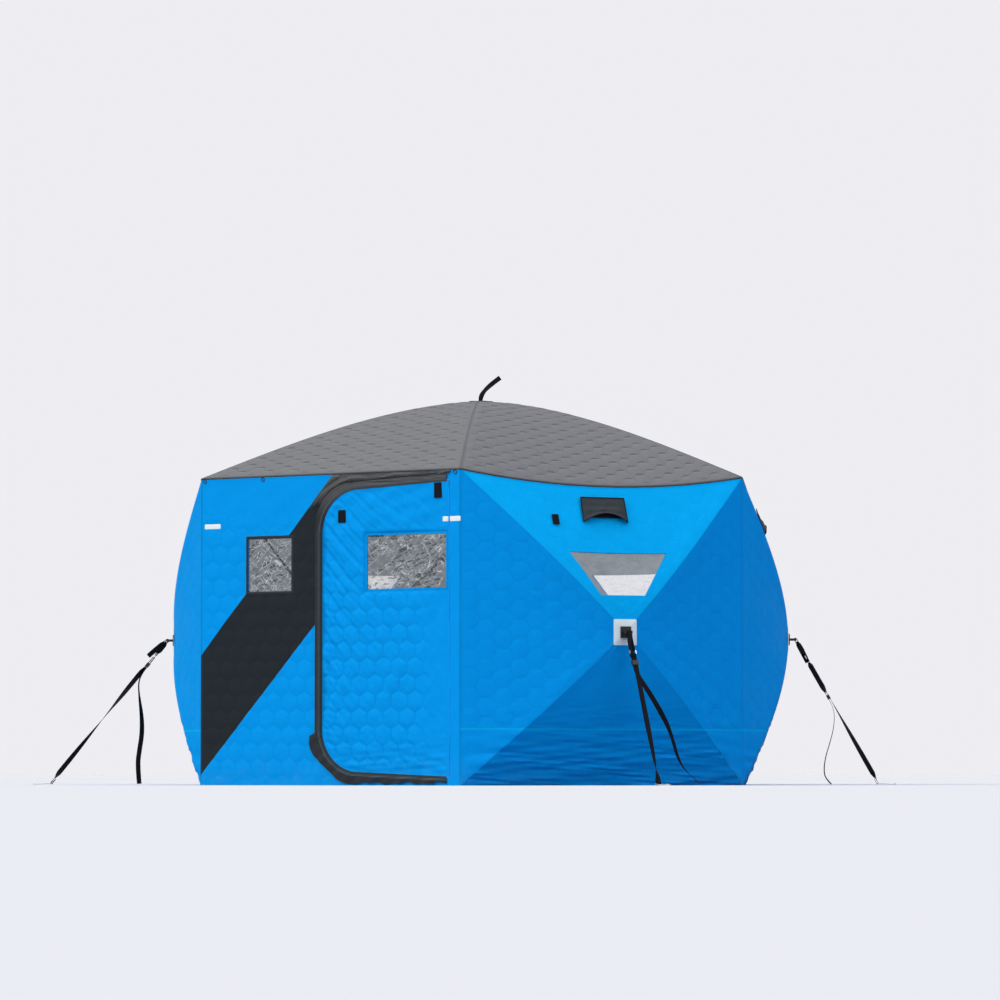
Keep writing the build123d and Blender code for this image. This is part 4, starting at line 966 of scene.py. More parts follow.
        # dark: painted shade on some facets and crease sides.
        dark = wire.times(wire.band(facets[2], 0.62, 0.70), wire.band(facets[0], 0.25, 0.45))
        dark = wire.math("MAXIMUM", dark, wire.times(wire.band(facets[1], 0.70, 0.75), creases[2]))
        crease_highlight = wire.times(lit, 0.8 * crumple)
        base = wire.mix(haze_and_facet_shade, scaled(colour, low), scaled(colour, high))
        base = wire.mix(wire.times(dark, crumple), base, (0.02, 0.022, 0.025))
        base = wire.mix(crease_highlight, base, (0.72, 0.72, 0.75))
        cover = wire.math("MAXIMUM", wire.times(haze_and_facet_shade, 0.44), wire.times(dark, 0.62))
        cover = wire.math("MAXIMUM", wire.times(cover, crumple), wire.times(crease_highlight, 0.8))
        alpha = wire.math("ADD", cover, 1 - clearness, clamp=True)
        roughness = wire.math("MULTIPLY_ADD", haze_and_facet_shade, 0.15, 0.12)
        normal = wire.bump(haze_and_facet_shade, 0.010, 0.6 * crumple)
        wire.fill(shader, Base_Color=base, Alpha=alpha, Roughness=roughness, Normal=normal)
        return material

    def vinyl_back(self):
        """Inner face of the clear vinyl, which adds next to nothing to its outer face."""
        material, wire, shader, cut = new_material("Back of clear vinyl")
        grain = wire.noise(cut, 60.0, 2.0)
        base = wire.mix(grain, scaled(self.colours.vinyl, 0.8), self.colours.vinyl)
        alpha = wire.math("MULTIPLY_ADD", grain, 0.02, 0.01)
        roughness = wire.math("MULTIPLY_ADD", grain, 0.1, 0.2)
        wire.fill(shader, Base_Color=base, Alpha=alpha, Roughness=roughness)
        return material

    def webbing(self):
        """Woven strap: ribs across it, cords along it and rubbed patches."""
        material, wire, shader, cut = new_material("Black webbing")
        colour = self.colours.webbing
        place = wire.split(cut)
        ribs, cords = (
            wire.math("ABSOLUTE", wire.math("SINE", wire.times(place[axis], 2 * pi / width)))
            for axis, width in ((1, 0.0036), (0, 0.005))
        )
        height = wire.math("MULTIPLY_ADD", cords, 0.6, ribs)
        marks = wire.use(self.age, Ground=0.1)
        # Ribs and cords lighter than the grooves between them: painted light and shade on the weave.
        base = wire.mix(wire.times(height, 0.6), scaled(colour, 0.7), scaled(colour, 1.6))
        base = wire.mix(wire.times(marks["Rubbed"], 0.2), base, scaled(colour, 2.0))
        roughness = wire.math("MULTIPLY_ADD", marks["Rubbed"], 0.15, 0.62)
        wire.fill(shader, Base_Color=base, Roughness=roughness, Specular_IOR_Level=0.05)
        wire.fill(shader, Normal=wire.bump(height, 0.0006, 0.8))
        return material

    def solid(self, name, colour, rough, metal=0.0, grain=0.4, scale=220.0):
        """Moulded, drawn or coated part: fine grain, rubbed patches and uneven gloss."""
        material, wire, shader, _ = new_material(name)
        place = wire.place()
        broad = wire.noise(place, 18.0, 4.0, 0.6)
        marks = wire.use(self.age, Ground=0.15)
        base = wire.mix(broad, scaled(colour, 0.8), scaled(colour, 1.2))
        base = wire.mix(wire.times(marks["Rubbed"], 0.25), base, scaled(colour, 1.6))
        roughness = wire.math("MULTIPLY_ADD", broad, 0.2, rough - 0.1)
        wire.fill(shader, Base_Color=base, Roughness=roughness, Metallic=metal, Specular_IOR_Level=0.3)
        wire.fill(shader, Normal=wire.bump(wire.noise(place, scale, 3.0), 0.0004, grain))
        return material

    def reflective_tape(self):
        """Glass-bead tape: pale, glossy, with fine hexagon cells pressed into it."""
        material, wire, shader, cut = new_material("Reflective tape")
        cells = wire.use(self.quilting, Vector=cut, Pitch=0.006)
        base = wire.mix(cells["Stitch"], self.colours.reflector, scaled(self.colours.reflector, 0.75))
        roughness = wire.math("MULTIPLY_ADD", cells["Height"], -0.08, 0.35)
        normal = wire.bump(cells["Height"], 0.0004, 0.5)
        wire.fill(shader, Base_Color=base, Roughness=roughness, Normal=normal)
        return material


STATE = {}


def shape():
    return STATE["shape"]


def finish(name):
    return STATE["finishes"].get(name)


def prepare(scene):
    """Works out the hut's shapes and shared finishes once, before its pieces are made."""
    if "finishes" not in STATE:
        STATE["shape"] = Shape(scene.hut_sizes)
        STATE["finishes"] = Finishes(STATE["shape"], scene.hut_colours, scene.hut_cloth)


def hub_wall_skin(wall, look):
    """One hub wall: four gores as closed quilted shells that meet along their seams.

    Outer points are the gore's plus its normal times the quilting and the wrinkles; inner points
    are the gore's less its normal times the cloth's thickness. Windows and vents are left open."""
    hut = shape()
    cloth = Surface()
    start = WALL_OPENING / hut.half
    gores = (
        ("left", lambda u, v: hut.side_gore(u, v, -1), False),
        ("right", lambda u, v: hut.side_gore(u, v, 1), True),
        ("top", hut.top_gore, False),
        ("bottom", hut.bottom_gore, True),
    )
    for number, (name, gore, flip) in enumerate(gores):
        u_line, v_line = np.linspace(start, 1, 95 if name == "bottom" else 49), np.linspace(0, 1, 85)
        if name == "top":
            u_line, v_line = np.union1d(u_line, HUB_WINDOW[:2]), np.union1d(v_line, HUB_WINDOW[2:])
        u, v = np.meshgrid(u_line, v_line, indexing="ij")
        base = gore(u, v)
        x, y = base[..., 0], base[..., 1]
        normals = grid_normals(base, np.array((0, 0, 1.0)))
        away = running_length(gore(u, 0 * v + 0.5), 0)
        if name in ("left", "right"):
            p, q = y, away
            edge = np.minimum(v, 1 - v) * u * hut.wall_top
            outer_edge = (1 - u) * hut.half
        else:
            p, q = away, x
            edge = np.minimum(v, 1 - v) * u * hut.side
            outer_edge = (1 - u) * hut.hub_height
        near = np.minimum(edge, outer_edge)
        from_seam = ramp(near, 0.0, 0.05) * ramp(u, 0.04, 0.16)
        quilted = ramp(y, hut.skirt - 0.002, hut.skirt + 0.002) * (name != "bottom")
        cells = hexagon_cells(p, q + 0.021 * number, look.pitch)
        lift = look.puff * 0.5 * (1 - cells**3) * from_seam * quilted
        soft = waves(p, q, 11 * wall + number, 7, 0.55, 0.11)
        lift += look.wrinkle * soft * ramp(near, 0, 0.06) * 0.6
        if name == "bottom":
            pleats = np.sin(v * 2 * pi * 5 + 1.5 * np.sin(7 * v + wall))
            pleats = pleats * np.exp(-((u / 0.14) ** 2)) * ramp(u, 0.05, 0.09)
            lift += 0.0024 * pleats * (0.6 + 0.4 * np.sin(11 * v))
        hem = ramp(0.50 - y, 0, 0.50)
        ripple = waves(x, y * 3.5, 5 * wall + 2, 12, 0.45, 0.070, pi / 2, 1.2)
        lift += 0.0060 * hem * ripple * ramp(hut.half - np.abs(x), 0, 0.04)
        lift *= pressed(x, y, (WALL_TAB, HOOD_SEAT, (0, hut.hub_height, *HUB_PATCH)))
        outer = hut.mitred(base + normals * lift[..., None])
        inner = hut.mitred(base - normals * hut.fabric)
        for face in (outer, inner):
            face[..., 1] = np.clip(face[..., 1], 0, None)
        line = np.exp(-(((y - hut.skirt) / 0.008) ** 2))
        stitched = 0.3 - 0.3 * ramp(np.minimum(edge, (1 - u) * hut.half), 0.002, 0.014) - 0.4 * line
        keep = None
        if name == "top":
            window_u, window_v = cell_middles(u), cell_middles(v)
            window = (window_u > HUB_WINDOW[0]) & (window_u < HUB_WINDOW[1])
            window &= (window_v > HUB_WINDOW[2]) & (window_v < HUB_WINDOW[3])
            vent = np.abs(cell_middles(x) - VENT[0]) < VENT[2] / 2
            vent &= np.abs(cell_middles(y) - VENT[1]) < VENT[3] / 2
            keep = ~(window | vent)
        cloth.shell(
            hut.placed(wall, outer), hut.placed(wall, inner), np.stack((p, q), -1), keep, flip,
            (3 if name == "top" else 0, 1, 2), quilted=quilted * from_seam, seam=stitched,
        )
    # The upper gore's outer face takes the paler blue: painted sky light.
    finishes = ("blue_cloth", "lining", "blue_cloth", "sky_lit_gore_cloth")
    return cloth.piece(f"wall_cloth_{HUB_WALLS[wall]}", finishes)


def roof_gore_skin(wall, look):
    """One roof gore: a closed quilted shell over the ribs, sagging to its eave."""
    hut = shape()
    cloth = Surface()
    start = ROOF_OPENING / hut.side
    u, v = np.meshgrid(np.linspace(start, 1, 81), np.linspace(0, 1, 89), indexing="ij")
    base = hut.roof_gore(u, v, wall)
    normals = grid_normals(base, np.array((0, 1.0, 0)))
    away = running_length(hut.roof_gore(u, 0 * v + 0.5, wall), 0)
    near = np.minimum(np.minimum(v, 1 - v) * u * hut.side, (1 - u) * hut.apothem)
    fade = ramp(near, 0, 0.05) * ramp(u, 0.05, 0.14)
    cells = hexagon_cells(away, base[..., 0], look.pitch)
    lift = look.puff * 1.9 * (1 - cells**3) * fade
    soft = waves(away, base[..., 0], 31 + wall, 6, 0.6, 0.14)
    lift += look.wrinkle * 0.7 * soft * ramp(near, 0, 0.08)
    outer = base + normals * lift[..., None]
    inner = base - np.array((0, hut.fabric, 0))
    cloth.shell(
        hut.placed(wall, outer), hut.placed(wall, inner), np.stack((away, base[..., 0]), -1), None, True,
        quilted=fade, seam=1 - ramp(near, 0.002, 0.012),
    )
    return cloth.piece(f"roof_cloth_{WALL_NAMES[wall]}", ("roof_cloth", "lining", "charcoal_cloth"))


def doorway_loop():
    """Outline of the doorway, with its two left corners rounded, and its sharp corners."""
    hut = shape()
    corners = [
        (hut.hinge_x, 0.036), (hut.hinge_x, hut.door_top_right), (hut.door_left, hut.door_top_left),
        (hut.door_left, 0.068),
    ]
    return rounded(corners, (0, 0, hut.door_corner, hut.door_corner), 25), corners[:2]


def rectangle(x, y, width, height):
    """Corners of an upright rectangle about its middle."""
    left, right, low, high = x - width / 2, x + width / 2, y - height / 2, y + height / 2
    return np.array(((left, low), (right, low), (right, high), (left, high)))


def edge_gap(loops, x, y):
    """Distance from each point to the nearest edge of closed loops."""
    place = np.stack((x.ravel(), y.ravel()), -1)
    best = np.full(len(place), np.inf)
    for start, run in zip(*sides_of(loops)):
        share = np.clip((place - start) @ run / max(run @ run, 1e-12), 0, 1)
        best = np.minimum(best, np.linalg.norm(start + share[:, None] * run - place, axis=1))
    return best.reshape(x.shape)


def pressed(x, y, patches, margin=0.014):
    """0 under sewn-on pieces, each given by its middle and size, rising to 1 round them."""
    share = np.ones(x.shape)
    for middle_x, middle_y, width, height in patches:
        gap = np.maximum(np.abs(x - middle_x) - width / 2, np.abs(y - middle_y) - height / 2)
        share = np.minimum(share, ramp(gap, 0.003, margin))
    return share


def wall_patches():
    """Pieces sewn on the door wall's fixed cloth: middle, width and height."""
    hut = shape()
    return (
        (hut.side_window_x, hut.window_y, 0.302, 0.302),
        (0.074 - hut.half, hut.reflector_y, 0.100, 0.025),
        (hut.half - 0.0315, hut.reflector_y, 0.063, 0.025),
    )


def door_patches():
    """Pieces sewn on the door: middle, width and height."""
    hut = shape()
    return (
        (hut.door_left + 0.130, hut.door_top_left - 0.131, 0.046, 0.064),
        (hut.hinge_x - 0.067, hut.door_top_right - 0.053, 0.044, 0.076),
        (hut.hinge_x - 0.021, hut.reflector_y, 0.034, 0.025),
    )


def flat_skin(cloth, loops, corners, step, front, back, lift, **values):
    """Closed shell over a flat outline in the door wall's frame, from back to front plus lift.

    Back is a height, or a function of the place for a sheet whose underside follows its face."""
    hut = shape()
    x, y, keep = cut_grid(loops, corners, step)
    heights = (front + lift(x, y), back(x, y) if callable(back) else 0 * x + back)
    outer, inner = (hut.placed(DOOR_WALL, hut.mitred(np.stack((x, y, each), -1))) for each in heights)
    given = {name: value(x, y) for name, value in values.items()}
    cloth.shell(outer, inner, np.stack((x, y), -1), keep, **given)


def door_wall_skin(look):
    """The flat front wall round its doorway and side window, quilted in plain hexagons."""
    hut = shape()
    opening, sharp = doorway_loop()
    outline = rectangle(0, hut.wall_top / 2, hut.side, hut.wall_top)
    window = rectangle(hut.side_window_x, hut.window_y, *SIDE_WINDOW)
    corners = [*outline, *sharp, *window]

    def quilted(x, y):
        near = np.minimum.reduce((x + hut.half, hut.half - x, y, hut.wall_top - y))
        fade = ramp(near, 0.0, 0.06) * ramp(hut.wall_top - y, 0.05, 0.45)
        return fade * (1 - ramp(x, hut.hinge_x - 0.05, hut.hinge_x))

    def lift(x, y):
        puff = look.puff * (1 - hexagon_cells(x, y, look.pitch) ** 3)
        soft = waves(x, y, 3, 8, 0.6, 0.12) * look.wrinkle * 0.7
        near = np.minimum.reduce((x + hut.half, hut.half - x, y + 0.01, hut.wall_top - y))
        folds = waves(x * 3.5, y, 8, 5, 0.5, 0.16, 0.0, 0.5) * 0.0022
        folds = folds * ramp(x, hut.hinge_x, hut.hinge_x + 0.02)
        raised = puff * quilted(x, y) + (soft + folds) * ramp(near, 0, 0.03)
        return raised * pressed(x, y, wall_patches())

    def seam(x, y):
        return 1 - ramp(np.minimum(x + hut.half, hut.half - x), 0.002, 0.012)

    cloth = Surface()
    flat_skin(
        cloth, [outline, opening, window], corners, look.step, 0.0, -hut.fabric, lift,
        quilted=quilted, seam=seam,
    )
    hinge = [(hut.hinge_x, y, 0.0) for y in np.linspace(0.041, hut.door_top_left, 40)]
    cloth.tube(hut.placed(DOOR_WALL, hinge), 0.003, 10, (0, 1, 0), 3)
    finishes = ("door_wall_cloth", "lining", "door_wall_cloth", "blue_piping")
    return cloth.piece("door_wall_cloth", finishes, 40, WELD)


def door_loop(inset):
    """Outline of the door panel, drawn in by inset from its own edge."""
    hut = shape()
    left, right = hut.door_left + ZIP_GAP + inset, hut.hinge_x - 0.0034 - inset
    corners = [
        (right, 0.041 + inset), (right, hut.door_top_right - ZIP_GAP - inset),
        (left, hut.door_top_left - ZIP_GAP - inset), (left, 0.073 + inset),
    ]
    radius = hut.door_corner - ZIP_GAP - inset
    return rounded(corners, (0, 0, radius, radius), 25), corners[:2]


def door_relief(x, y, look):
    """Height of the door's cloth: quilting, strongest low down, and creases drawn from the zip side."""
    hut = shape()
    gap = edge_gap([door_loop(0.0)[0]], x, y)
    window = (hut.door_window_x, hut.window_y, *DOOR_WINDOW)
    free = pressed(x, y, (*door_patches(), window), 0.030)
    from_left = x - hut.door_left
    cells = hexagon_cells(x + 0.006 * np.sin(9 * y), y + 0.004 * np.sin(13 * x), look.pitch)
    puff = 0.0034 * (1 - cells**2.2) * door_quilting(x, y)
    slide = y + 0.85 * from_left + 0.05 * np.sin(6 * from_left)
    fan = np.zeros(x.shape)
    creases = ((0.210, 0.4, 0.9), (0.118, 2.1, 0.9), (0.071, 4.0, 0.8), (0.043, 1.2, 0.6))
    for length, phase, height in creases:
        fan += height * np.sin(2 * pi * slide / length + phase + 1.2 * np.sin(5 * y))
    reach = 0.14 + 0.18 * ramp(y, 0.7, 1.2)
    risen = 0.5 + 0.5 * ramp(y, 0.25, 0.9)
    fan *= 0.0030 * np.exp(-from_left / reach) * ramp(from_left, 0.0, 0.03) * risen
    top = (hut.door_top_left - y) * 0.9 + from_left * 0.35
    drawn = 0.0010 * np.sin(2 * pi * top / 0.085 + 2 * np.sin(4 * x)) * ramp(y, 1.20, 1.40)
    soft = waves(x, y, 17, 8, 0.5, 0.09) * look.wrinkle * 0.9 + waves(x, y, 19, 9, 0.11, 0.035) * 0.0008
    pinch = np.sin(2 * pi * (y + 0.2 * from_left) / 0.037 + 2 * np.sin(21 * y)) * np.exp(-from_left / 0.07)
    soft += 0.0016 * pinch * ramp(from_left, 0.004, 0.03)
    foot = waves(x, y * 2.5, 23, 5, 0.30, 0.08, pi / 2, 1.2) * 0.003 * ramp(0.30 - y, 0, 0.25)
    edge = ramp(gap, 0.0, 0.028)
    raised = puff + fan + drawn + soft + foot + 0.006 * ramp(gap, 0.0, 0.20)
    return np.maximum(raised, -0.0055) * edge * free


def door_quilting(x, y):
    """Share of the quilting that shows on the door: full low down, fading upward and to the hinge."""
    hut = shape()
    low = 1 - 0.75 * ramp(y, 0.85, 1.25)
    return low * ramp(hut.hinge_x - x, 0.07, 0.24) * ramp(y, 0.06, 0.12)


def door_skin(look):
    """The door: a flat quilted sheet with rounded zip corners and an opening for its window."""
    hut = shape()
    outline, sharp = door_loop(0.0)
    window = rectangle(hut.door_window_x, hut.window_y, *DOOR_WINDOW)
    cloth = Surface()
    flat_skin(
        cloth, [outline, window], [*sharp, *window], 0.0070, 0.0, -hut.fabric,
        lambda x, y: door_relief(x, y, look),
        quilted=lambda x, y: 1.25 * door_quilting(x, y),
        # seam: a dark stitch line round the window, and painted shadow along the door's left edge next to
        # the storm flap.
        seam=lambda x, y: np.exp(-(((edge_gap([window], x, y) - 0.012) / 0.004) ** 2))
        + 1.3 * ramp(y, 0.15, 0.35) * (1 - ramp(x - hut.door_left, 0.008, 0.036 + 0.014 * np.sin(17 * y))),
    )
    return cloth.piece("door_cloth", ("door_cloth", "lining", "door_cloth"))


def crumpled_pane(name, middle_x, middle_y, width, height, seed):
    """Clear window in a wall's cloth: crossing ridged waves that fade at its sewn edge."""
    outline = rectangle(middle_x, middle_y, width - 0.0006, height - 0.0006)

    def lift(x, y):
        near = np.minimum(width / 2 - np.abs(x - middle_x), height / 2 - np.abs(y - middle_y))
        ridges = 1 - 2 * np.abs(waves(x, y, seed, 9, 0.22, 0.035))
        return (0.0020 * ridges + 0.002 * waves(x, y, seed + 5, 5, 0.3, 0.1)) * ramp(near, 0.0, 0.03)

    pane = Surface()
    flat_skin(pane, [outline], list(outline), 0.0050, -0.0035, lambda x, y: lift(x, y) - 0.0045, lift)
    return pane.piece(name, ("crinkled_vinyl", "vinyl_back"), 180)


def flap_loops():
    """Outer edge of the storm flap's lip and its inner edge on the door."""
    hut = shape()
    left, flare = hut.door_left - 0.032, hut.door_left - 0.064
    right = hut.hinge_x - 0.014
    top_left, top_right = hut.door_top_left + 0.030, hut.door_top_right + 0.030
    fall = (top_left - top_right) / (left - hut.hinge_x)
    corners = [
        (right, 0.008), (right, top_right + fall * (right - hut.hinge_x)), (left, top_left),
        (left, 0.263), (flare, 0.250), (flare, 0.170), (0.085, 0.008),
    ]
    outer = rounded(corners, (0, 0, hut.door_corner, 0, 0, 0.10, 0.16), 15)
    foot = np.linspace(0.17, right - 0.02, 34)
    rise = 0.012 + 0.004 * np.sin(30 * foot) + 0.003 * np.sin(67 * foot)
    outer = np.concatenate((outer, np.stack((foot, rise), -1)))
    inner, _ = door_loop(0.003)
    return outer, inner, corners[:2], corners[3:5], right


def flap_skin():
    """Storm flap: a loose lip over the zip that rolls down on to the door along its inner edge."""
    hut = shape()
    outer, inner, sharp, step, right = flap_loops()
    low = inner[inner[:, 0] >= right - 0.02].min(0)[1]
    ring = inner[inner[:, 0] <= right]
    slope = (hut.door_top_right - hut.door_top_left) / (hut.hinge_x - hut.door_left)
    start = np.array((right, low))
    end = np.array((right, hut.door_top_right - 0.008 + slope * (right - hut.hinge_x)))
    ring = ring[np.argsort(-angle_round(ring, end))]
    band = np.concatenate((np.roll(outer, -1, axis=0), [start], ring, [end]))

    def lift(x, y):
        gap = edge_gap([inner], x, y)
        along = x - y
        ripple = np.sin(along * 2 * pi / 0.19) + 0.6 * np.sin(along * 2 * pi / 0.083 + 1.0)
        low_part = ramp(0.34 - y, 0.0, 0.2)
        loose = 0.0008 + 0.0006 * ripple + 0.0016 * low_part * (1.6 + ripple)
        folds = np.sin(2 * pi * gap / 0.017 + 2.2 * np.sin(5 * along) + 6 * x) * ramp(y, 1.0, 1.40)
        folds += 0.5 * np.sin(2 * pi * gap / 0.009 - 2 * np.sin(8 * along)) * ramp(y, 1.1, 1.5)
        return 0.0052 * ramp(gap, 0.0, 0.008) + ramp(gap, 0.006, 0.02) * (loose + 0.0018 * folds)

    cloth = Surface()
    flat_skin(
        cloth, [band], [*sharp, *step, start, end], 0.0065, 0.0022, lambda x, y: 0.0004 + lift(x, y), lift,
        seam=lambda x, y: -np.exp(-(((edge_gap([inner], x, y) - 0.017) / 0.003) ** 2)),
    )
    return cloth.piece("storm_flap_cloth", ("charcoal_cloth",))


def angle_round(points, start):
    """Order key of points along the flap's inner edge, from the top right, over the left, to the foot."""
    middle = np.array((0.35, 0.78))
    turn = np.arctan2(points[:, 1] - middle[1], points[:, 0] - middle[0])
    first = np.arctan2(start[1] - middle[1], start[0] - middle[0])
    return (turn - first) % (2 * pi)


def header_skin():
    """Loose cloth over the doorway: folds that run beside the doorway's rounded edge, with painted shade in
    their valleys.
    """
    hut = shape()
    outer, _, _, _, right = flap_loops()
    top_edge = outer[(outer[:, 1] > 1.40) & (outer[:, 0] > hut.door_left - 0.04)]
    top_edge = top_edge[np.argsort(-top_edge[:, 0])] + np.array((0.0, 0.002))
    eave, foot = hut.wall_top - 0.001, 1.395
    left_foot = hut.stripe_x - (eave - foot) / STRIPE_SLOPE
    upper = [(hut.half - 0.057, eave), (hut.stripe_x, eave), (left_foot, foot)]
    loop = np.concatenate((upper, top_edge[::-1], [(right + 0.012, 1.552)]))
    doorway, _ = doorway_loop()

    def lift(x, y):
        gap = edge_gap([doorway], x, y)
        swing = 0.35 * np.sin(9 * x) + 0.25 * np.sin(23 * x + 1)
        folds = 0.5 + 0.5 * np.sin(2 * pi * (gap + 0.05 * x) / 0.046 + 3 * swing)
        folds += 0.25 * np.sin(2 * pi * (gap - 0.04 * x) / 0.021 + 5 * swing)
        soft = 0.0015 * waves(x, y, 41, 6, 0.2, 0.04)
        sunk = 0.0048 * (1 - ramp(y, foot, 1.46))
        return ramp(edge_gap([loop], x, y), 0.0, 0.010) * (0.0020 + 0.0062 * folds + soft) - sunk

    # Painted shade in the valleys of the folds, passed as seam, which darkens the cloth.
    def fold_shade(x, y):
        return (1 - ramp(lift(x, y), 0.0010, 0.0055)) * ramp(y, 1.40, 1.50)

    cloth = Surface()
    flat_skin(
        cloth, [loop], list(loop[:3]), 0.0055, 0.0058, lambda x, y: 0.0042 + lift(x, y), lift, seam=fold_shade
    )
    roll = [(x, 1.5555 + 0.010 * np.sin((x - 0.69) * 30), 0.004) for x in np.linspace(0.66, 0.744, 16)]
    radius = 0.004 + 0.0035 * np.sin(np.linspace(0.1, pi * 0.95, 16))
    cloth.tube(hut.placed(DOOR_WALL, roll), radius, 12)
    return cloth.piece("header_drape", ("header_cloth",), 40, WELD)


def sewn_patch(cloth, patch, front, curl=0.0, turn=0.0):
    """Thin rectangle sewn on the door wall: softened corners, a slightly domed face and a curled foot."""
    middle_x, middle_y, width, height = patch
    loop = rounded(rectangle(0, 0, width, height), (0.003,) * 4, 4)
    away = np.array(((cos(turn), sin(turn)), (-sin(turn), cos(turn))))
    loop = loop @ away + np.array((middle_x, middle_y))

    def lift(x, y):
        share = (middle_y + height / 2 - y) / height
        return 0.0006 * ramp(edge_gap([loop], x, y), 0, 0.004) + curl * share**2

    flat_skin(cloth, [loop], [], min(width, height) / 8, front, 0.0, lift)


def border_skin():
    """Black binding sewn round the side window: a folded strip with a domed profile."""
    hut = shape()
    outer = rounded(rectangle(hut.side_window_x, hut.window_y, 0.300, 0.300), (0.006,) * 4, 5)
    inner = rectangle(hut.side_window_x, hut.window_y, *SIDE_WINDOW)

    def lift(x, y):
        gap = edge_gap([outer, inner], x, y)
        return 0.0022 * np.sqrt(ramp(gap, 0, 0.0075)) + 0.0007 * np.sin(60 * x) * np.sin(53 * y)

    cloth = Surface()
    flat_skin(cloth, [outer, inner], list(inner), 0.0036, 0.0008, 0.0, lift)
    return cloth.piece("side_window_binding", ("charcoal_cloth",))


def on_wall(wall, x, y, height):
    """Points over a hub wall's cloth at a place in its frame, raised by height."""
    hut = shape()
    return hut.placed(wall, np.stack((x, y, hut.wall_height(x, y) + height), -1))


def patch_on_wall(cloth, wall, loops, corners, step, low, high, lift=None, side=0):
    """Closed sheet that follows a hub wall's curve between two heights over it."""
    x, y, keep = cut_grid(loops, corners, step)
    raised = high + (lift(x, y) if lift else 0)
    flat = np.stack((x, y), -1)
    cloth.shell(on_wall(wall, x, y, raised), on_wall(wall, x, y, low), flat, keep, False, (side,) * 3)


def vent_hood_skin(wall, cloth):
    """Vent scoop: sewn down at its top and sides, swelling to an arched mouth, with a corded edge."""
    hut = shape()
    across, down = np.meshgrid(np.linspace(-1, 1, 41), np.linspace(0, 1, 27))
    middle = (hut.vent_top + hut.vent_bottom) / 2
    span = hut.vent_top - hut.vent_bottom
    x = VENT[0] + across * 0.123 * (1 + 0.02 * down)
    y = hut.vent_top - span * down + 0.046 * (1 - across**2) * down**1.5
    swell = down**1.15 * (1 - np.abs(across) ** 5)
    folds = 0.0022 * np.sin(down * 2 * pi * 2.4 - 2.2 * (1 - across**2)) * swell**0.5
    folds += 0.0016 * np.sin(9 * across + 5 * down) * swell
    height = 0.0028 + 0.0215 * swell + folds
    inner = np.maximum(height - 0.002, 0.0006)
    flat = np.stack((x, y), -1)
    cloth.shell(on_wall(wall, x, y, height), on_wall(wall, x, y, inner), flat, None, True, (0, 1, 1))
    mouth = on_wall(wall, x[-1], y[-1], height[-1] - 0.001)
    cloth.tube(mouth, 0.0024, 8, (0, 0, 1), 1)
    for column in (0, -1):
        cloth.tube(on_wall(wall, x[:, column], y[:, column], 0.003), 0.0026, 8, (1, 1, 0), 1)
    cloth.tube(on_wall(wall, x[0], y[0], 0.003), 0.0026, 8, (0, 0, 1), 1)
    border = rectangle(VENT[0], middle + 0.006, 0.214, 0.092)
    slot = rectangle(VENT[0], middle + 0.010, *VENT[2:])
    patch_on_wall(cloth, wall, [border, slot], [*border, *slot], 0.008, 0.0, 0.0016, side=1)


def bracket_bar():
    """Middle of the bar of a hub's bracket, in its wall's frame."""
    hut = shape()
    return np.array((0, hut.hub_height, hut.hub_bulge + FITTING + BRACKET_BAR))


def bar_to_anchor(wall):
    """Way from the bracket's bar to the anchor's bar, in the wall's frame."""
    return np.array((0, ANCHOR_BAR, ANCHOR_REACH[wall])) - bracket_bar()


def strap_frame(wall):
    """Middle of the steel ring and the strap's axes: along it, up from it and to the wall's left."""
    hut = shape()
    axes = hut.axes(wall)
    along = unit(bar_to_anchor(wall))
    middle = hut.placed(wall, bracket_bar() + along * PULL_LOOP)
    return middle, along @ axes, np.array((0, along[2], -along[1])) @ axes, -axes[0]


def turned_pair(wall, route, turn):
    """Path of a doubled strap, turned about its own axis, and the direction of its width."""
    middle, along, over, left = strap_frame(wall)
    level, tipped = np.cos(turn)[:, None], np.sin(turn)[:, None]
    path = middle + np.outer(route[:, 0], along) + route[:, 1:] * (over * level + left * tipped)
    return path, left * level - over * tipped


def smoothed(values):
    """Values evened out by a running mean of nine."""
    return np.convolve(np.pad(values, 4, mode="edge"), np.ones(9) / 9, mode="valid")


def straight(start, end, count, height):
    """Points on a straight run in a strap's plane, at one height over its middle line."""
    return np.stack((np.linspace(start, end, count), np.full(count, height)), -1)


def turn_round(middle, radius, start, end, count=11):
    """Points on an arc in a strap's plane."""
    angle = np.linspace(start, end, count)
    return np.stack((middle + radius * np.cos(angle), radius * np.sin(angle)), -1)


def strap_length(wall):
    """Distance from the ring's middle to the anchor's bar."""
    return np.linalg.norm(bar_to_anchor(wall)) - PULL_LOOP


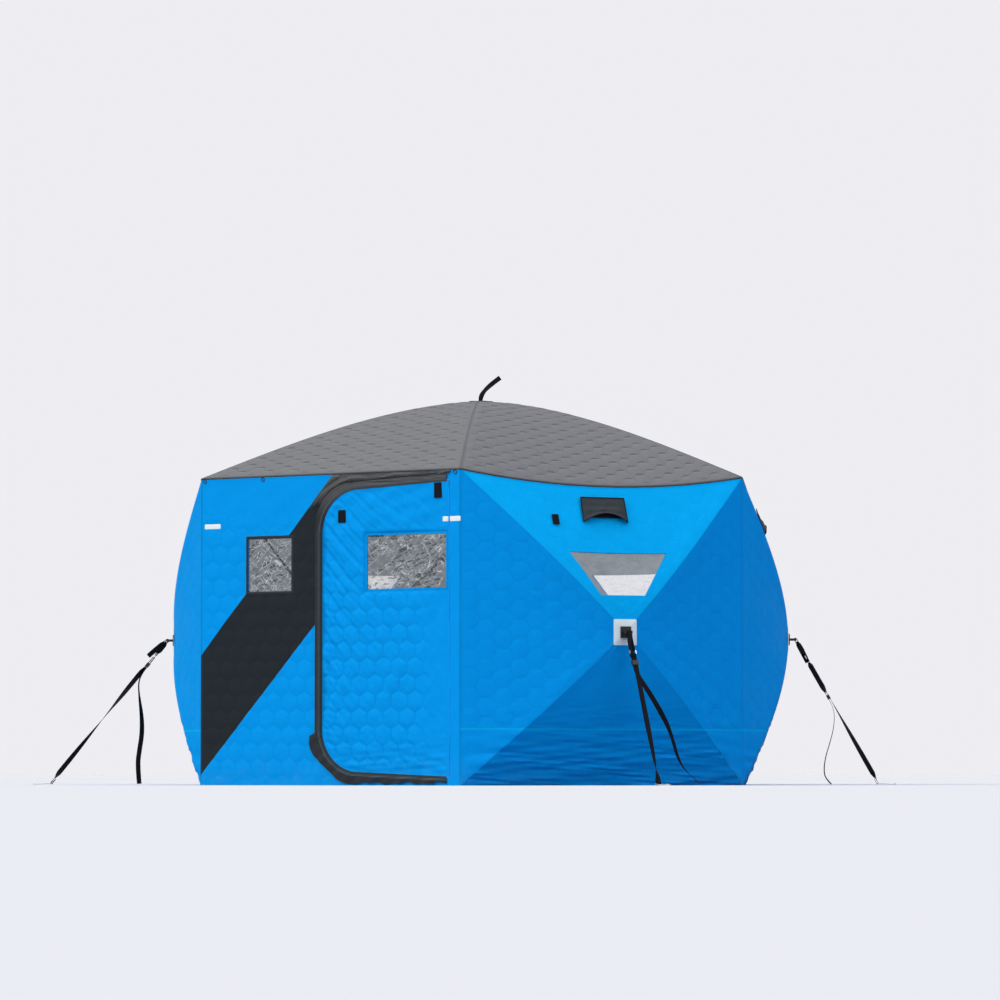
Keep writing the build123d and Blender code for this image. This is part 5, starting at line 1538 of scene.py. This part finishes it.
def guy_strap_skin(wall, cloth):
    """Strap from its slide, round the ring's bar, twisted down to the anchor's bar and sewn back."""
    foot = strap_length(wall)
    slide = 0.010 + SLIDE_DISTANCE[wall]
    free = 0.012 + SLIDE_DISTANCE[wall] + 0.020
    back = straight(slide, 0.011, 50, -STRAP_TURN)
    top = turn_round(0.010, STRAP_TURN, -pi / 2, -3 * pi / 2)
    taut = straight(0.012, foot - 0.002, 150, STRAP_TURN)
    low = turn_round(foot, STRAP_TURN, pi / 2, -pi / 2)
    sewn = straight(foot - 0.002, foot - 0.030, 10, -STRAP_TURN)
    route = np.concatenate((back, top, taut, low, sewn))
    share = np.clip((taut[:, 0] - free) / (foot - 0.036 - free), 0, 1)
    first = len(back) + len(top)
    last = first + len(taut)
    angle = np.zeros(len(route))
    angle[first:last] = smoothed(np.interp(share, *np.array(STRAP_TWIST[wall]).T))
    angle[last - 1 :] = round(angle[last - 1] / pi) * pi
    pair = 1.45 * ramp(route[:, 0], 0.025, 0.060) * ramp(slide - 0.015 - route[:, 0], 0.0, 0.070)
    path, left = turned_pair(wall, route, pair)
    normal = unit(np.cross(unit(np.gradient(path, axis=0)), left))
    add_ribbon(cloth, path, left * np.cos(angle)[:, None] + normal * np.sin(angle)[:, None])


def add_ribbon(cloth, path, across, width=WEBBING, thickness=WEBBING_THICKNESS, columns=5):
    """Flat webbing: its width carried along a path and closed to its thickness."""
    tangent = unit(np.gradient(path, axis=0))
    wide = unit(across - tangent * (across * tangent).sum(-1, keepdims=True))
    over = np.cross(wide, tangent)[:, None] * thickness / 2
    share = np.linspace(-0.5, 0.5, columns)
    body = path[:, None] + wide[:, None] * share[None, :, None] * width
    length = running_length(path[:, None], 0)
    flat = np.stack(np.broadcast_arrays(share[None] * width, length), -1)
    cloth.shell(body + over, body - over, flat)


def pull_loop_skin(wall, cloth):
    """Loop of webbing between the bracket's bar and the steel ring, with its sewn lap."""
    far, near = -PULL_LOOP, -0.010
    out = straight(-0.060, near, 20, STRAP_TURN)
    ring = turn_round(near, STRAP_TURN, pi / 2, -pi / 2)
    back = straight(near - 0.002, far, 36, -STRAP_TURN)
    bar = turn_round(far, STRAP_TURN, -pi / 2, -3 * pi / 2)
    lap = straight(far + 0.002, -0.030, 26, STRAP_TURN)
    lap[:, 1] += 0.0021 * ramp(np.linspace(far, -0.03, 26), -0.075, -0.06)
    route = np.concatenate((out, ring[1:], back, bar[1:], lap))
    pair = 1.3 * ramp(route[:, 0], far + 0.010, -0.072) * ramp(-0.016 - route[:, 0], 0, 0.03)
    path, across = turned_pair(wall, route, pair)
    add_ribbon(cloth, path, across)


def spare_handle_skin(wall, cloth):
    """Doubled pull handle on the bracket's bar: over the bar, out in its heading and folded at its end."""
    hut = shape()
    length, radius = HANDLE_LENGTH, 0.0078
    out = unit(np.array(HANDLE_HEADING[wall], float))
    up = unit(np.array((0, out[2], -out[1])))
    angle = np.linspace(0, pi, 12)
    upper = smooth_path(((length, 0.0016), (length * 0.9, 0.0045), (0.03, radius), (0, radius)), 22)
    over = np.stack((-radius * np.sin(angle), radius * np.cos(angle)), -1)
    lower = smooth_path(((0, -radius), (0.03, -radius), (length * 0.9, -0.0045), (length, -0.0016)), 22)
    route = np.concatenate((upper, over[1:-1], lower))
    aside = np.cross(out, up)
    turn = 1.25 * ramp(route[:, 0], 0.012, 0.060)[:, None]
    local = bracket_bar() + np.outer(route[:, 0], out)
    local += route[:, 1:] * (up * np.cos(turn) + aside * np.sin(turn))
    local[:, 1] -= 0.10 * np.clip(route[:, 0], 0, None) ** 2 / length
    path = hut.placed(wall, local)
    across = hut.placed(wall, local + aside * np.cos(turn) - up * np.sin(turn)) - path
    add_ribbon(cloth, path, across, WEBBING * 0.96)


def smooth_path(points, count):
    """Cubic Bezier curve whose four control points are given."""
    t = np.linspace(0, 1, count)[:, None]
    a, b, c, d = (np.asarray(point, float) for point in points)
    return a * (1 - t) ** 3 + 3 * b * t * (1 - t) ** 2 + 3 * c * t**2 * (1 - t) + d * t**3


def hub_window_pane(wall, cloth):
    """Clear window of a hub wall: its upper gore, sunk and softly waved inside its sewn edge."""
    hut = shape()
    u_low, u_high, v_low, v_high = HUB_WINDOW
    u, v = np.meshgrid(np.linspace(u_low, u_high, 41), np.linspace(v_low, v_high, 61), indexing="ij")
    base = hut.top_gore(u, v)
    normals = grid_normals(base, np.array((0, 0, 1.0)))
    near = np.minimum(np.minimum(u - u_low, u_high - u), np.minimum(v - v_low, v_high - v) * 0.6)
    soft = 0.0020 * waves(base[..., 0], base[..., 1], 70 + wall, 6, 0.4, 0.08) * ramp(near, 0, 0.05)
    middle = base - normals * (0.004 - soft[..., None])
    outer, inner = (hut.placed(wall, middle + normals * half) for half in (0.0006, -0.0006))
    cloth.shell(outer, inner, base[..., :2])


def roof_strap_skin(cloth):
    """Pull strap on the roof's cap: it rises, leans to the right and twists a little on its way."""
    hut = shape()
    top = hut.rib_height(CAP_TOP / hut.side) + FITTING + 0.0025
    bearing = radians(33.5)
    right = np.array((cos(bearing), sin(bearing), 0))
    towards = np.array((sin(bearing), -cos(bearing), 0))
    route = smooth_path(((0, 0), (0, 0.040), (0.022, 0.066), (0.104, 0.126)), 40)
    path = hut.centre + np.outer(route[:, 0], right) + np.outer(route[:, 1] + top, (0, 0, 1.0))
    upright = np.cross(unit(np.gradient(path, axis=0)), towards)
    angle = np.interp(np.linspace(0, 1, 40), (0, 0.25, 0.5, 0.8, 1), (0.9, 0.2, 0.75, 0.25, 0.1))
    across = upright * np.cos(angle)[:, None] + towards * np.sin(angle)[:, None]
    add_ribbon(cloth, path, across, WEBBING, 2 * WEBBING_THICKNESS, 7)


def roof_cap_skin(cloth):
    """Cap over the roof's hub: flat in the middle, falling with the ribs, rippled at its rim."""
    hut = shape()
    reach = 0.066
    top, rim = (hut.rib_height(each / hut.side) + FITTING for each in (CAP_TOP, reach))
    away, angle = np.meshgrid(np.linspace(0.0, reach, 17), np.linspace(0, 2 * pi, 61), indexing="ij")
    fall = top + (rim - top) * np.clip((away - CAP_TOP) / 0.022, 0, 1)
    ripple = 0.0008 * np.sin(6 * angle) * ramp(away, 0.03, reach)
    x, y = away * np.cos(angle), away * np.sin(angle)
    under = np.stack((x, y, fall + ripple), -1) + hut.centre
    cloth.shell(under + np.array((0, 0, 0.0026)), under, np.stack((x, y), -1), flip=True)


def dress(piece, body, slot, *nodes):
    """Rides a piece on its body and hides the CAD nodes that it stands in for; its slot is not used."""
    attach(piece, body)
    if nodes:
        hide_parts(*nodes)


class PaintStage(bpy.types.Operator):
    """Sets the pale floor, the soft lights and the camera"""

    bl_idname = "ice_hut.stage"
    bl_label = "Stage, lights and camera"

    def execute(self, context):
        prepare(context.scene)
        look = context.scene.hut_studio
        bearing = np.array((sin(look.bearing), -cos(look.bearing), 0))
        camera_data = bpy.data.cameras.new("Camera")
        camera_data.sensor_width = 36
        camera_data.lens = look.lens
        camera_data.clip_end = 2000
        camera = bpy.data.objects.new("Camera", camera_data)
        camera.location = shape().centre + bearing * look.distance + np.array((0, 0, look.height))
        camera.rotation_euler = Euler((pi / 2 + look.tilt, 0, look.bearing - look.pan))
        context.scene.collection.objects.link(camera)
        context.scene.camera = camera
        self.floor(context, look)
        self.world(context, look)
        lamps = (
            ("Front sky", (-0.35, -0.75, 0.56), 2.42, 0.9, (0.97, 0.99, 0.88)),
            ("Right sky", (0.78, -0.26, 0.57), 0.98, 0.9, (0.95, 0.98, 1.05)),
            ("High sky", (0.0, 0.1, 1.0), 2.1, 1.5, (0.95, 0.98, 1.05)),
        )
        for name, towards, energy, size, colour in lamps:
            lamp = bpy.data.lights.new(name, "SUN")
            lamp.energy = energy
            lamp.angle = size
            lamp.color = colour
            light = bpy.data.objects.new(name, lamp)
            light.rotation_euler = Vector(towards).to_track_quat("Z", "Y").to_euler()
            context.scene.collection.objects.link(light)
        context.scene.view_settings.view_transform = "Standard"
        return {"FINISHED"}

    def floor(self, context, look):
        """Flat pale floor that stays pale for the camera and sends less light up on to the hut."""
        mesh = bpy.data.meshes.new("Floor")
        reach, height = 600.0, -0.0005
        corners = [(reach * x, reach * y, height) for x, y in ((-1, -1), (1, -1), (1, 1), (-1, 1))]
        mesh.from_pydata(corners, [], [(0, 1, 2, 3)])
        floor = bpy.data.objects.new("Floor", mesh)
        context.scene.collection.objects.link(floor)
        material, wire, shader, _ = new_material("Floor")
        wire.fill(shader, Base_Color=wire.mix(wire.seen(), (0.24, 0.28, 0.36), look.ice))
        wire.fill(shader, Roughness=0.9, Specular_IOR_Level=0.0)
        mesh.materials.append(material)

    def world(self, context, look):
        """Even sky light, and a pale backdrop for the camera."""
        world = bpy.data.worlds.new("Sky")
        world.use_nodes = True
        context.scene.world = world
        world.node_tree.nodes.clear()
        wire = Wiring(world.node_tree)
        light = wire.node("Background", {0: (0.88, 0.95, 1.1, 1), 1: 0.09}).outputs[0]
        shown = wire.node("Background", {0: (*look.sky, 1), 1: 1.0}).outputs[0]
        both = wire.node("MixShader", {0: wire.seen(), 1: light, 2: shown}).outputs[0]
        wire.node("OutputWorld", {0: both})


class MakeTails(bpy.types.Operator):
    """Makes the loose tails of the guy straps"""

    bl_idname = "ice_hut.tails"
    bl_label = "Strap tails"

    def execute(self, context):
        prepare(context.scene)
        for wall, name in HUB_WALLS.items():
            axes = shape().axes(wall)
            middle, along, over, _ = strap_frame(wall)
            start = middle + along * (SLIDE_DISTANCE[wall] + 0.022) - over * 0.004
            route = [start, start + along * TAIL_LEAD]
            route += [start + np.array((right, rise, out)) @ axes for right, out, rise in TAIL_ROUTE[wall]]
            path = self.curve_points(context, f"tail_route_{name}", route)
            turn = np.interp(np.linspace(0, 1, len(path)), *np.array(TAIL_TWIST[wall]).T)
            turn = smoothed(turn)[:, None]
            normal = unit(np.cross(unit(np.gradient(path, axis=0)), axes[0]))
            across = axes[0] * np.cos(turn) + normal * np.sin(turn)
            tail = Surface()
            add_ribbon(tail, path, across)
            tail = tail.piece(f"loose_tail_{name}", ("webbing",))
            dress(tail, "hut", "black_webbing", f"strap_tail_{name}")
        return {"FINISHED"}

    def curve_points(self, context, name, route):
        """Points of a smooth curve that is drawn through a route's ends and towards its other points."""
        curve = bpy.data.curves.new(name, "CURVE")
        curve.dimensions = "3D"
        spline = curve.splines.new("NURBS")
        spline.points.add(len(route) - 1)
        spline.points.foreach_set("co", np.column_stack((route, np.ones(len(route)))).ravel())
        spline.order_u = 3
        spline.use_endpoint_u = True
        spline.resolution_u = 16
        carrier = bpy.data.objects.new(name, curve)
        context.scene.collection.objects.link(carrier)
        line = bpy.data.meshes.new_from_object(carrier)
        path = np.array([point.co for point in line.vertices])
        bpy.data.meshes.remove(line)
        bpy.data.objects.remove(carrier)
        return path


class MakeWalls(bpy.types.Operator):
    """Makes the quilted cloth of the five hub walls"""

    bl_idname = "ice_hut.walls"
    bl_label = "Hub walls"

    def execute(self, context):
        prepare(context.scene)
        for wall, name in HUB_WALLS.items():
            skin = hub_wall_skin(wall, context.scene.hut_cloth)
            dress(skin, "hut", "blue_quilt", f"wall_{name}", f"skirt_{name}")
        return {"FINISHED"}


class MakeRoof(bpy.types.Operator):
    """Makes the six quilted gores of the roof"""

    bl_idname = "ice_hut.roof"
    bl_label = "Roof"

    def execute(self, context):
        prepare(context.scene)
        for wall, name in WALL_NAMES.items():
            skin = roof_gore_skin(wall, context.scene.hut_cloth)
            dress(skin, "hut", "grey_quilt", f"roof_panel_{name}")
        return {"FINISHED"}


class MakeDoorWall(bpy.types.Operator):
    """Makes the flat wall round the doorway"""

    bl_idname = "ice_hut.door_wall"
    bl_label = "Door wall"

    def execute(self, context):
        prepare(context.scene)
        skin = door_wall_skin(context.scene.hut_cloth)
        dress(
            skin, "hut", "blue_quilt", "door_wall_left", "door_wall_stripe", "door_wall_lower", "door_sill",
            "door_header", "door_jamb",
        )
        return {"FINISHED"}


class MakeDoor(bpy.types.Operator):
    """Makes the door's cloth, window, storm flap and small sewn pieces"""

    bl_idname = "ice_hut.door"
    bl_label = "Door"

    def execute(self, context):
        prepare(context.scene)
        hut = shape()
        door = door_skin(context.scene.hut_cloth)
        dress(door, "door", "blue_quilt", "door_panel")
        pane = crumpled_pane("door_window_pane", hut.door_window_x, hut.window_y, *DOOR_WINDOW, 61)
        dress(pane, "door", "clear_vinyl", "door_window")
        flap = flap_skin()
        dress(flap, "door", "charcoal_cloth", "door_storm_flap")
        left_tab, right_tab, strip = door_patches()
        tabs = Surface()
        sewn_patch(tabs, left_tab, TAB_FACE, curl=0.002)
        sewn_patch(tabs, right_tab, TAB_FACE, curl=0.004, turn=0.03)
        tabs = tabs.piece("door_tab_webbing", ("webbing",))
        dress(tabs, "door", "black_webbing", "door_tabs")
        tape = Surface()
        sewn_patch(tape, strip, TAPE_FACE)
        tape = tape.piece("door_reflector_tape", ("reflective_tape",))
        dress(tape, "door", "reflective_tape", "door_reflector")
        return {"FINISHED"}


class MakeDoorTrim(bpy.types.Operator):
    """Makes the header cloth, the side window and the strips sewn on the fixed door wall"""

    bl_idname = "ice_hut.door_trim"
    bl_label = "Door wall trim"

    def execute(self, context):
        prepare(context.scene)
        hut = shape()
        header = header_skin()
        dress(header, "hut", "charcoal_cloth")
        pane = crumpled_pane("side_window_pane", hut.side_window_x, hut.window_y, *SIDE_WINDOW, 62)
        dress(pane, "hut", "clear_vinyl", "side_window")
        dress(border_skin(), "hut", "charcoal_cloth", "side_window_border")
        tape = Surface()
        for strip in wall_patches()[1:]:
            sewn_patch(tape, strip, TAPE_FACE)
        tape = tape.piece("wall_reflector_tape", ("reflective_tape",))
        dress(tape, "hut", "reflective_tape", "reflectors")
        return {"FINISHED"}


class MakeWallTrim(bpy.types.Operator):
    """Makes the vent hoods, windows, tabs and hub patches of the hub walls"""

    bl_idname = "ice_hut.wall_trim"
    bl_label = "Hub wall trim"

    def execute(self, context):
        prepare(context.scene)
        hoods, tabs, patches, panes = Surface(), Surface(), Surface(), Surface()
        tab = rounded(rectangle(*WALL_TAB), (0.003,) * 4, 4)
        square = rounded(rectangle(0, shape().hub_height, *HUB_PATCH), (0.004,) * 4, 5)

        def domed(x, y):
            gap = edge_gap([square], x, y)
            return 0.0010 * ramp(gap, 0, 0.004) - 0.0008 * np.exp(-(((gap - 0.008) / 0.003) ** 2))

        for wall in HUB_WALLS:
            vent_hood_skin(wall, hoods)
            patch_on_wall(tabs, wall, [tab], [], 0.005, 0.0003, 0.0026)
            patch_on_wall(patches, wall, [square], [], 0.005, 0.0002, 0.0014, domed)
            hub_window_pane(wall, panes)
        jobs = (
            (hoods, "vent_hood_cloth", "vent_hoods", "charcoal_cloth", ("hood_cloth", "piping")),
            (tabs, "wall_tab_webbing", "wall_tabs", "black_webbing", ("webbing",)),
            (patches, "hub_patch_cloth", "hub_patches", "hub_patch", ("patch_cloth",)),
            (panes, "hub_window_panes", "wall_windows", "clear_vinyl", ("smooth_vinyl", "vinyl_back")),
        )
        for surface, name, node, slot, finishes in jobs:
            dress(surface.piece(name, finishes, 50, WELD), "hut", slot, node)
        return {"FINISHED"}


class MakeStraps(bpy.types.Operator):
    """Makes the webbing of the guy straps, pull loops and roof strap"""

    bl_idname = "ice_hut.straps"
    bl_label = "Straps"

    def execute(self, context):
        prepare(context.scene)
        straps, loops, spare, roof = Surface(), Surface(), Surface(), Surface()
        for wall in HUB_WALLS:
            guy_strap_skin(wall, straps)
            pull_loop_skin(wall, loops)
            spare_handle_skin(wall, spare)
        roof_strap_skin(roof)
        jobs = (
            (straps, "guy_strap_webbing", ("guy_straps",)),
            (loops, "pull_loop_webbing", ("pull_loops",)),
            (spare, "spare_loop_webbing", ()),
            (roof, "roof_strap_webbing", ("roof_pull_strap",)),
        )
        for surface, name, nodes in jobs:
            dress(surface.piece(name, ("webbing",)), "hut", "black_webbing", *nodes)
        return {"FINISHED"}


class MakeRoofTrim(bpy.types.Operator):
    """Makes the cap on the roof hub and the piping along the eave, whose dark grey also paints the shadow
    line under the roof's edge
    """

    bl_idname = "ice_hut.roof_trim"
    bl_label = "Roof trim"

    def execute(self, context):
        prepare(context.scene)
        cap, piping = Surface(), Surface()
        roof_cap_skin(cap)
        cap = cap.piece("roof_cap_cloth", ("roof_trim",), 40, 0.0001)
        dress(cap, "hut", "charcoal_cloth", "roof_cap")
        hut, v = shape(), np.linspace(0, 1, 90)
        for wall in WALL_NAMES:
            # The piping is the eave's hem; its dark grey is a painted shadow line under the roof's edge.
            edge = hut.roof_gore(1.0 + 0 * v, v, wall) + np.array((0, -0.004, 0.001))
            piping.tube(hut.placed(wall, edge), 0.0027, 8)
        dress(piping.piece("eave_piping_and_shadow", ("roof_trim",), 60, WELD), "hut", "charcoal_cloth")
        return {"FINISHED"}


class FinishFittings(bpy.types.Operator):
    """Gives the rigid fittings their moulded, drawn and plated finishes"""

    bl_idname = "ice_hut.fittings"
    bl_label = "Fittings"

    def execute(self, context):
        prepare(context.scene)
        for name, nodes in NODE_FINISHES.items():
            for node in nodes:
                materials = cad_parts[node].data.materials
                materials.clear()
                materials.append(finish(name))
        return {"FINISHED"}


class HutPanel(bpy.types.Panel):
    """Sizes, cloth, colours and pieces of the hut"""

    bl_idname = "VIEW3D_PT_ice_hut"
    bl_label = "Ice hut"
    bl_space_type = "VIEW_3D"
    bl_region_type = "UI"
    bl_category = "Ice hut"

    def draw(self, context):
        layout = self.layout
        for group in GROUPS:
            box = layout.box()
            held = getattr(context.scene, group)
            for name in held.__annotations__:
                box.prop(held, name)
        for operator in STEPS:
            layout.operator(operator.bl_idname)


GROUPS = {
    "hut_sizes": HutSizes, "hut_cloth": ClothLook, "hut_colours": HutColours, "hut_studio": StudioLook
}
STEPS = (
    PaintStage, MakeTails, MakeWalls, MakeRoof, MakeDoorWall, MakeDoor, MakeDoorTrim, MakeWallTrim,
    MakeStraps, MakeRoofTrim, FinishFittings,
)


def register():
    for kind in (*GROUPS.values(), *STEPS, HutPanel):
        bpy.utils.register_class(kind)
    for name, kind in GROUPS.items():
        setattr(bpy.types.Scene, name, bpy.props.PointerProperty(type=kind))


def unregister():
    for name in GROUPS:
        delattr(bpy.types.Scene, name)
    for kind in reversed((*GROUPS.values(), *STEPS, HutPanel)):
        bpy.utils.unregister_class(kind)


def main():
    register()
    bpy.ops.ice_hut.stage()
    bpy.ops.ice_hut.tails()
    bpy.ops.ice_hut.walls()
    bpy.ops.ice_hut.roof()
    bpy.ops.ice_hut.door_wall()
    bpy.ops.ice_hut.door()
    bpy.ops.ice_hut.door_trim()
    bpy.ops.ice_hut.wall_trim()
    bpy.ops.ice_hut.straps()
    bpy.ops.ice_hut.roof_trim()
    bpy.ops.ice_hut.fittings()


if __name__ == "__main__":
    main()
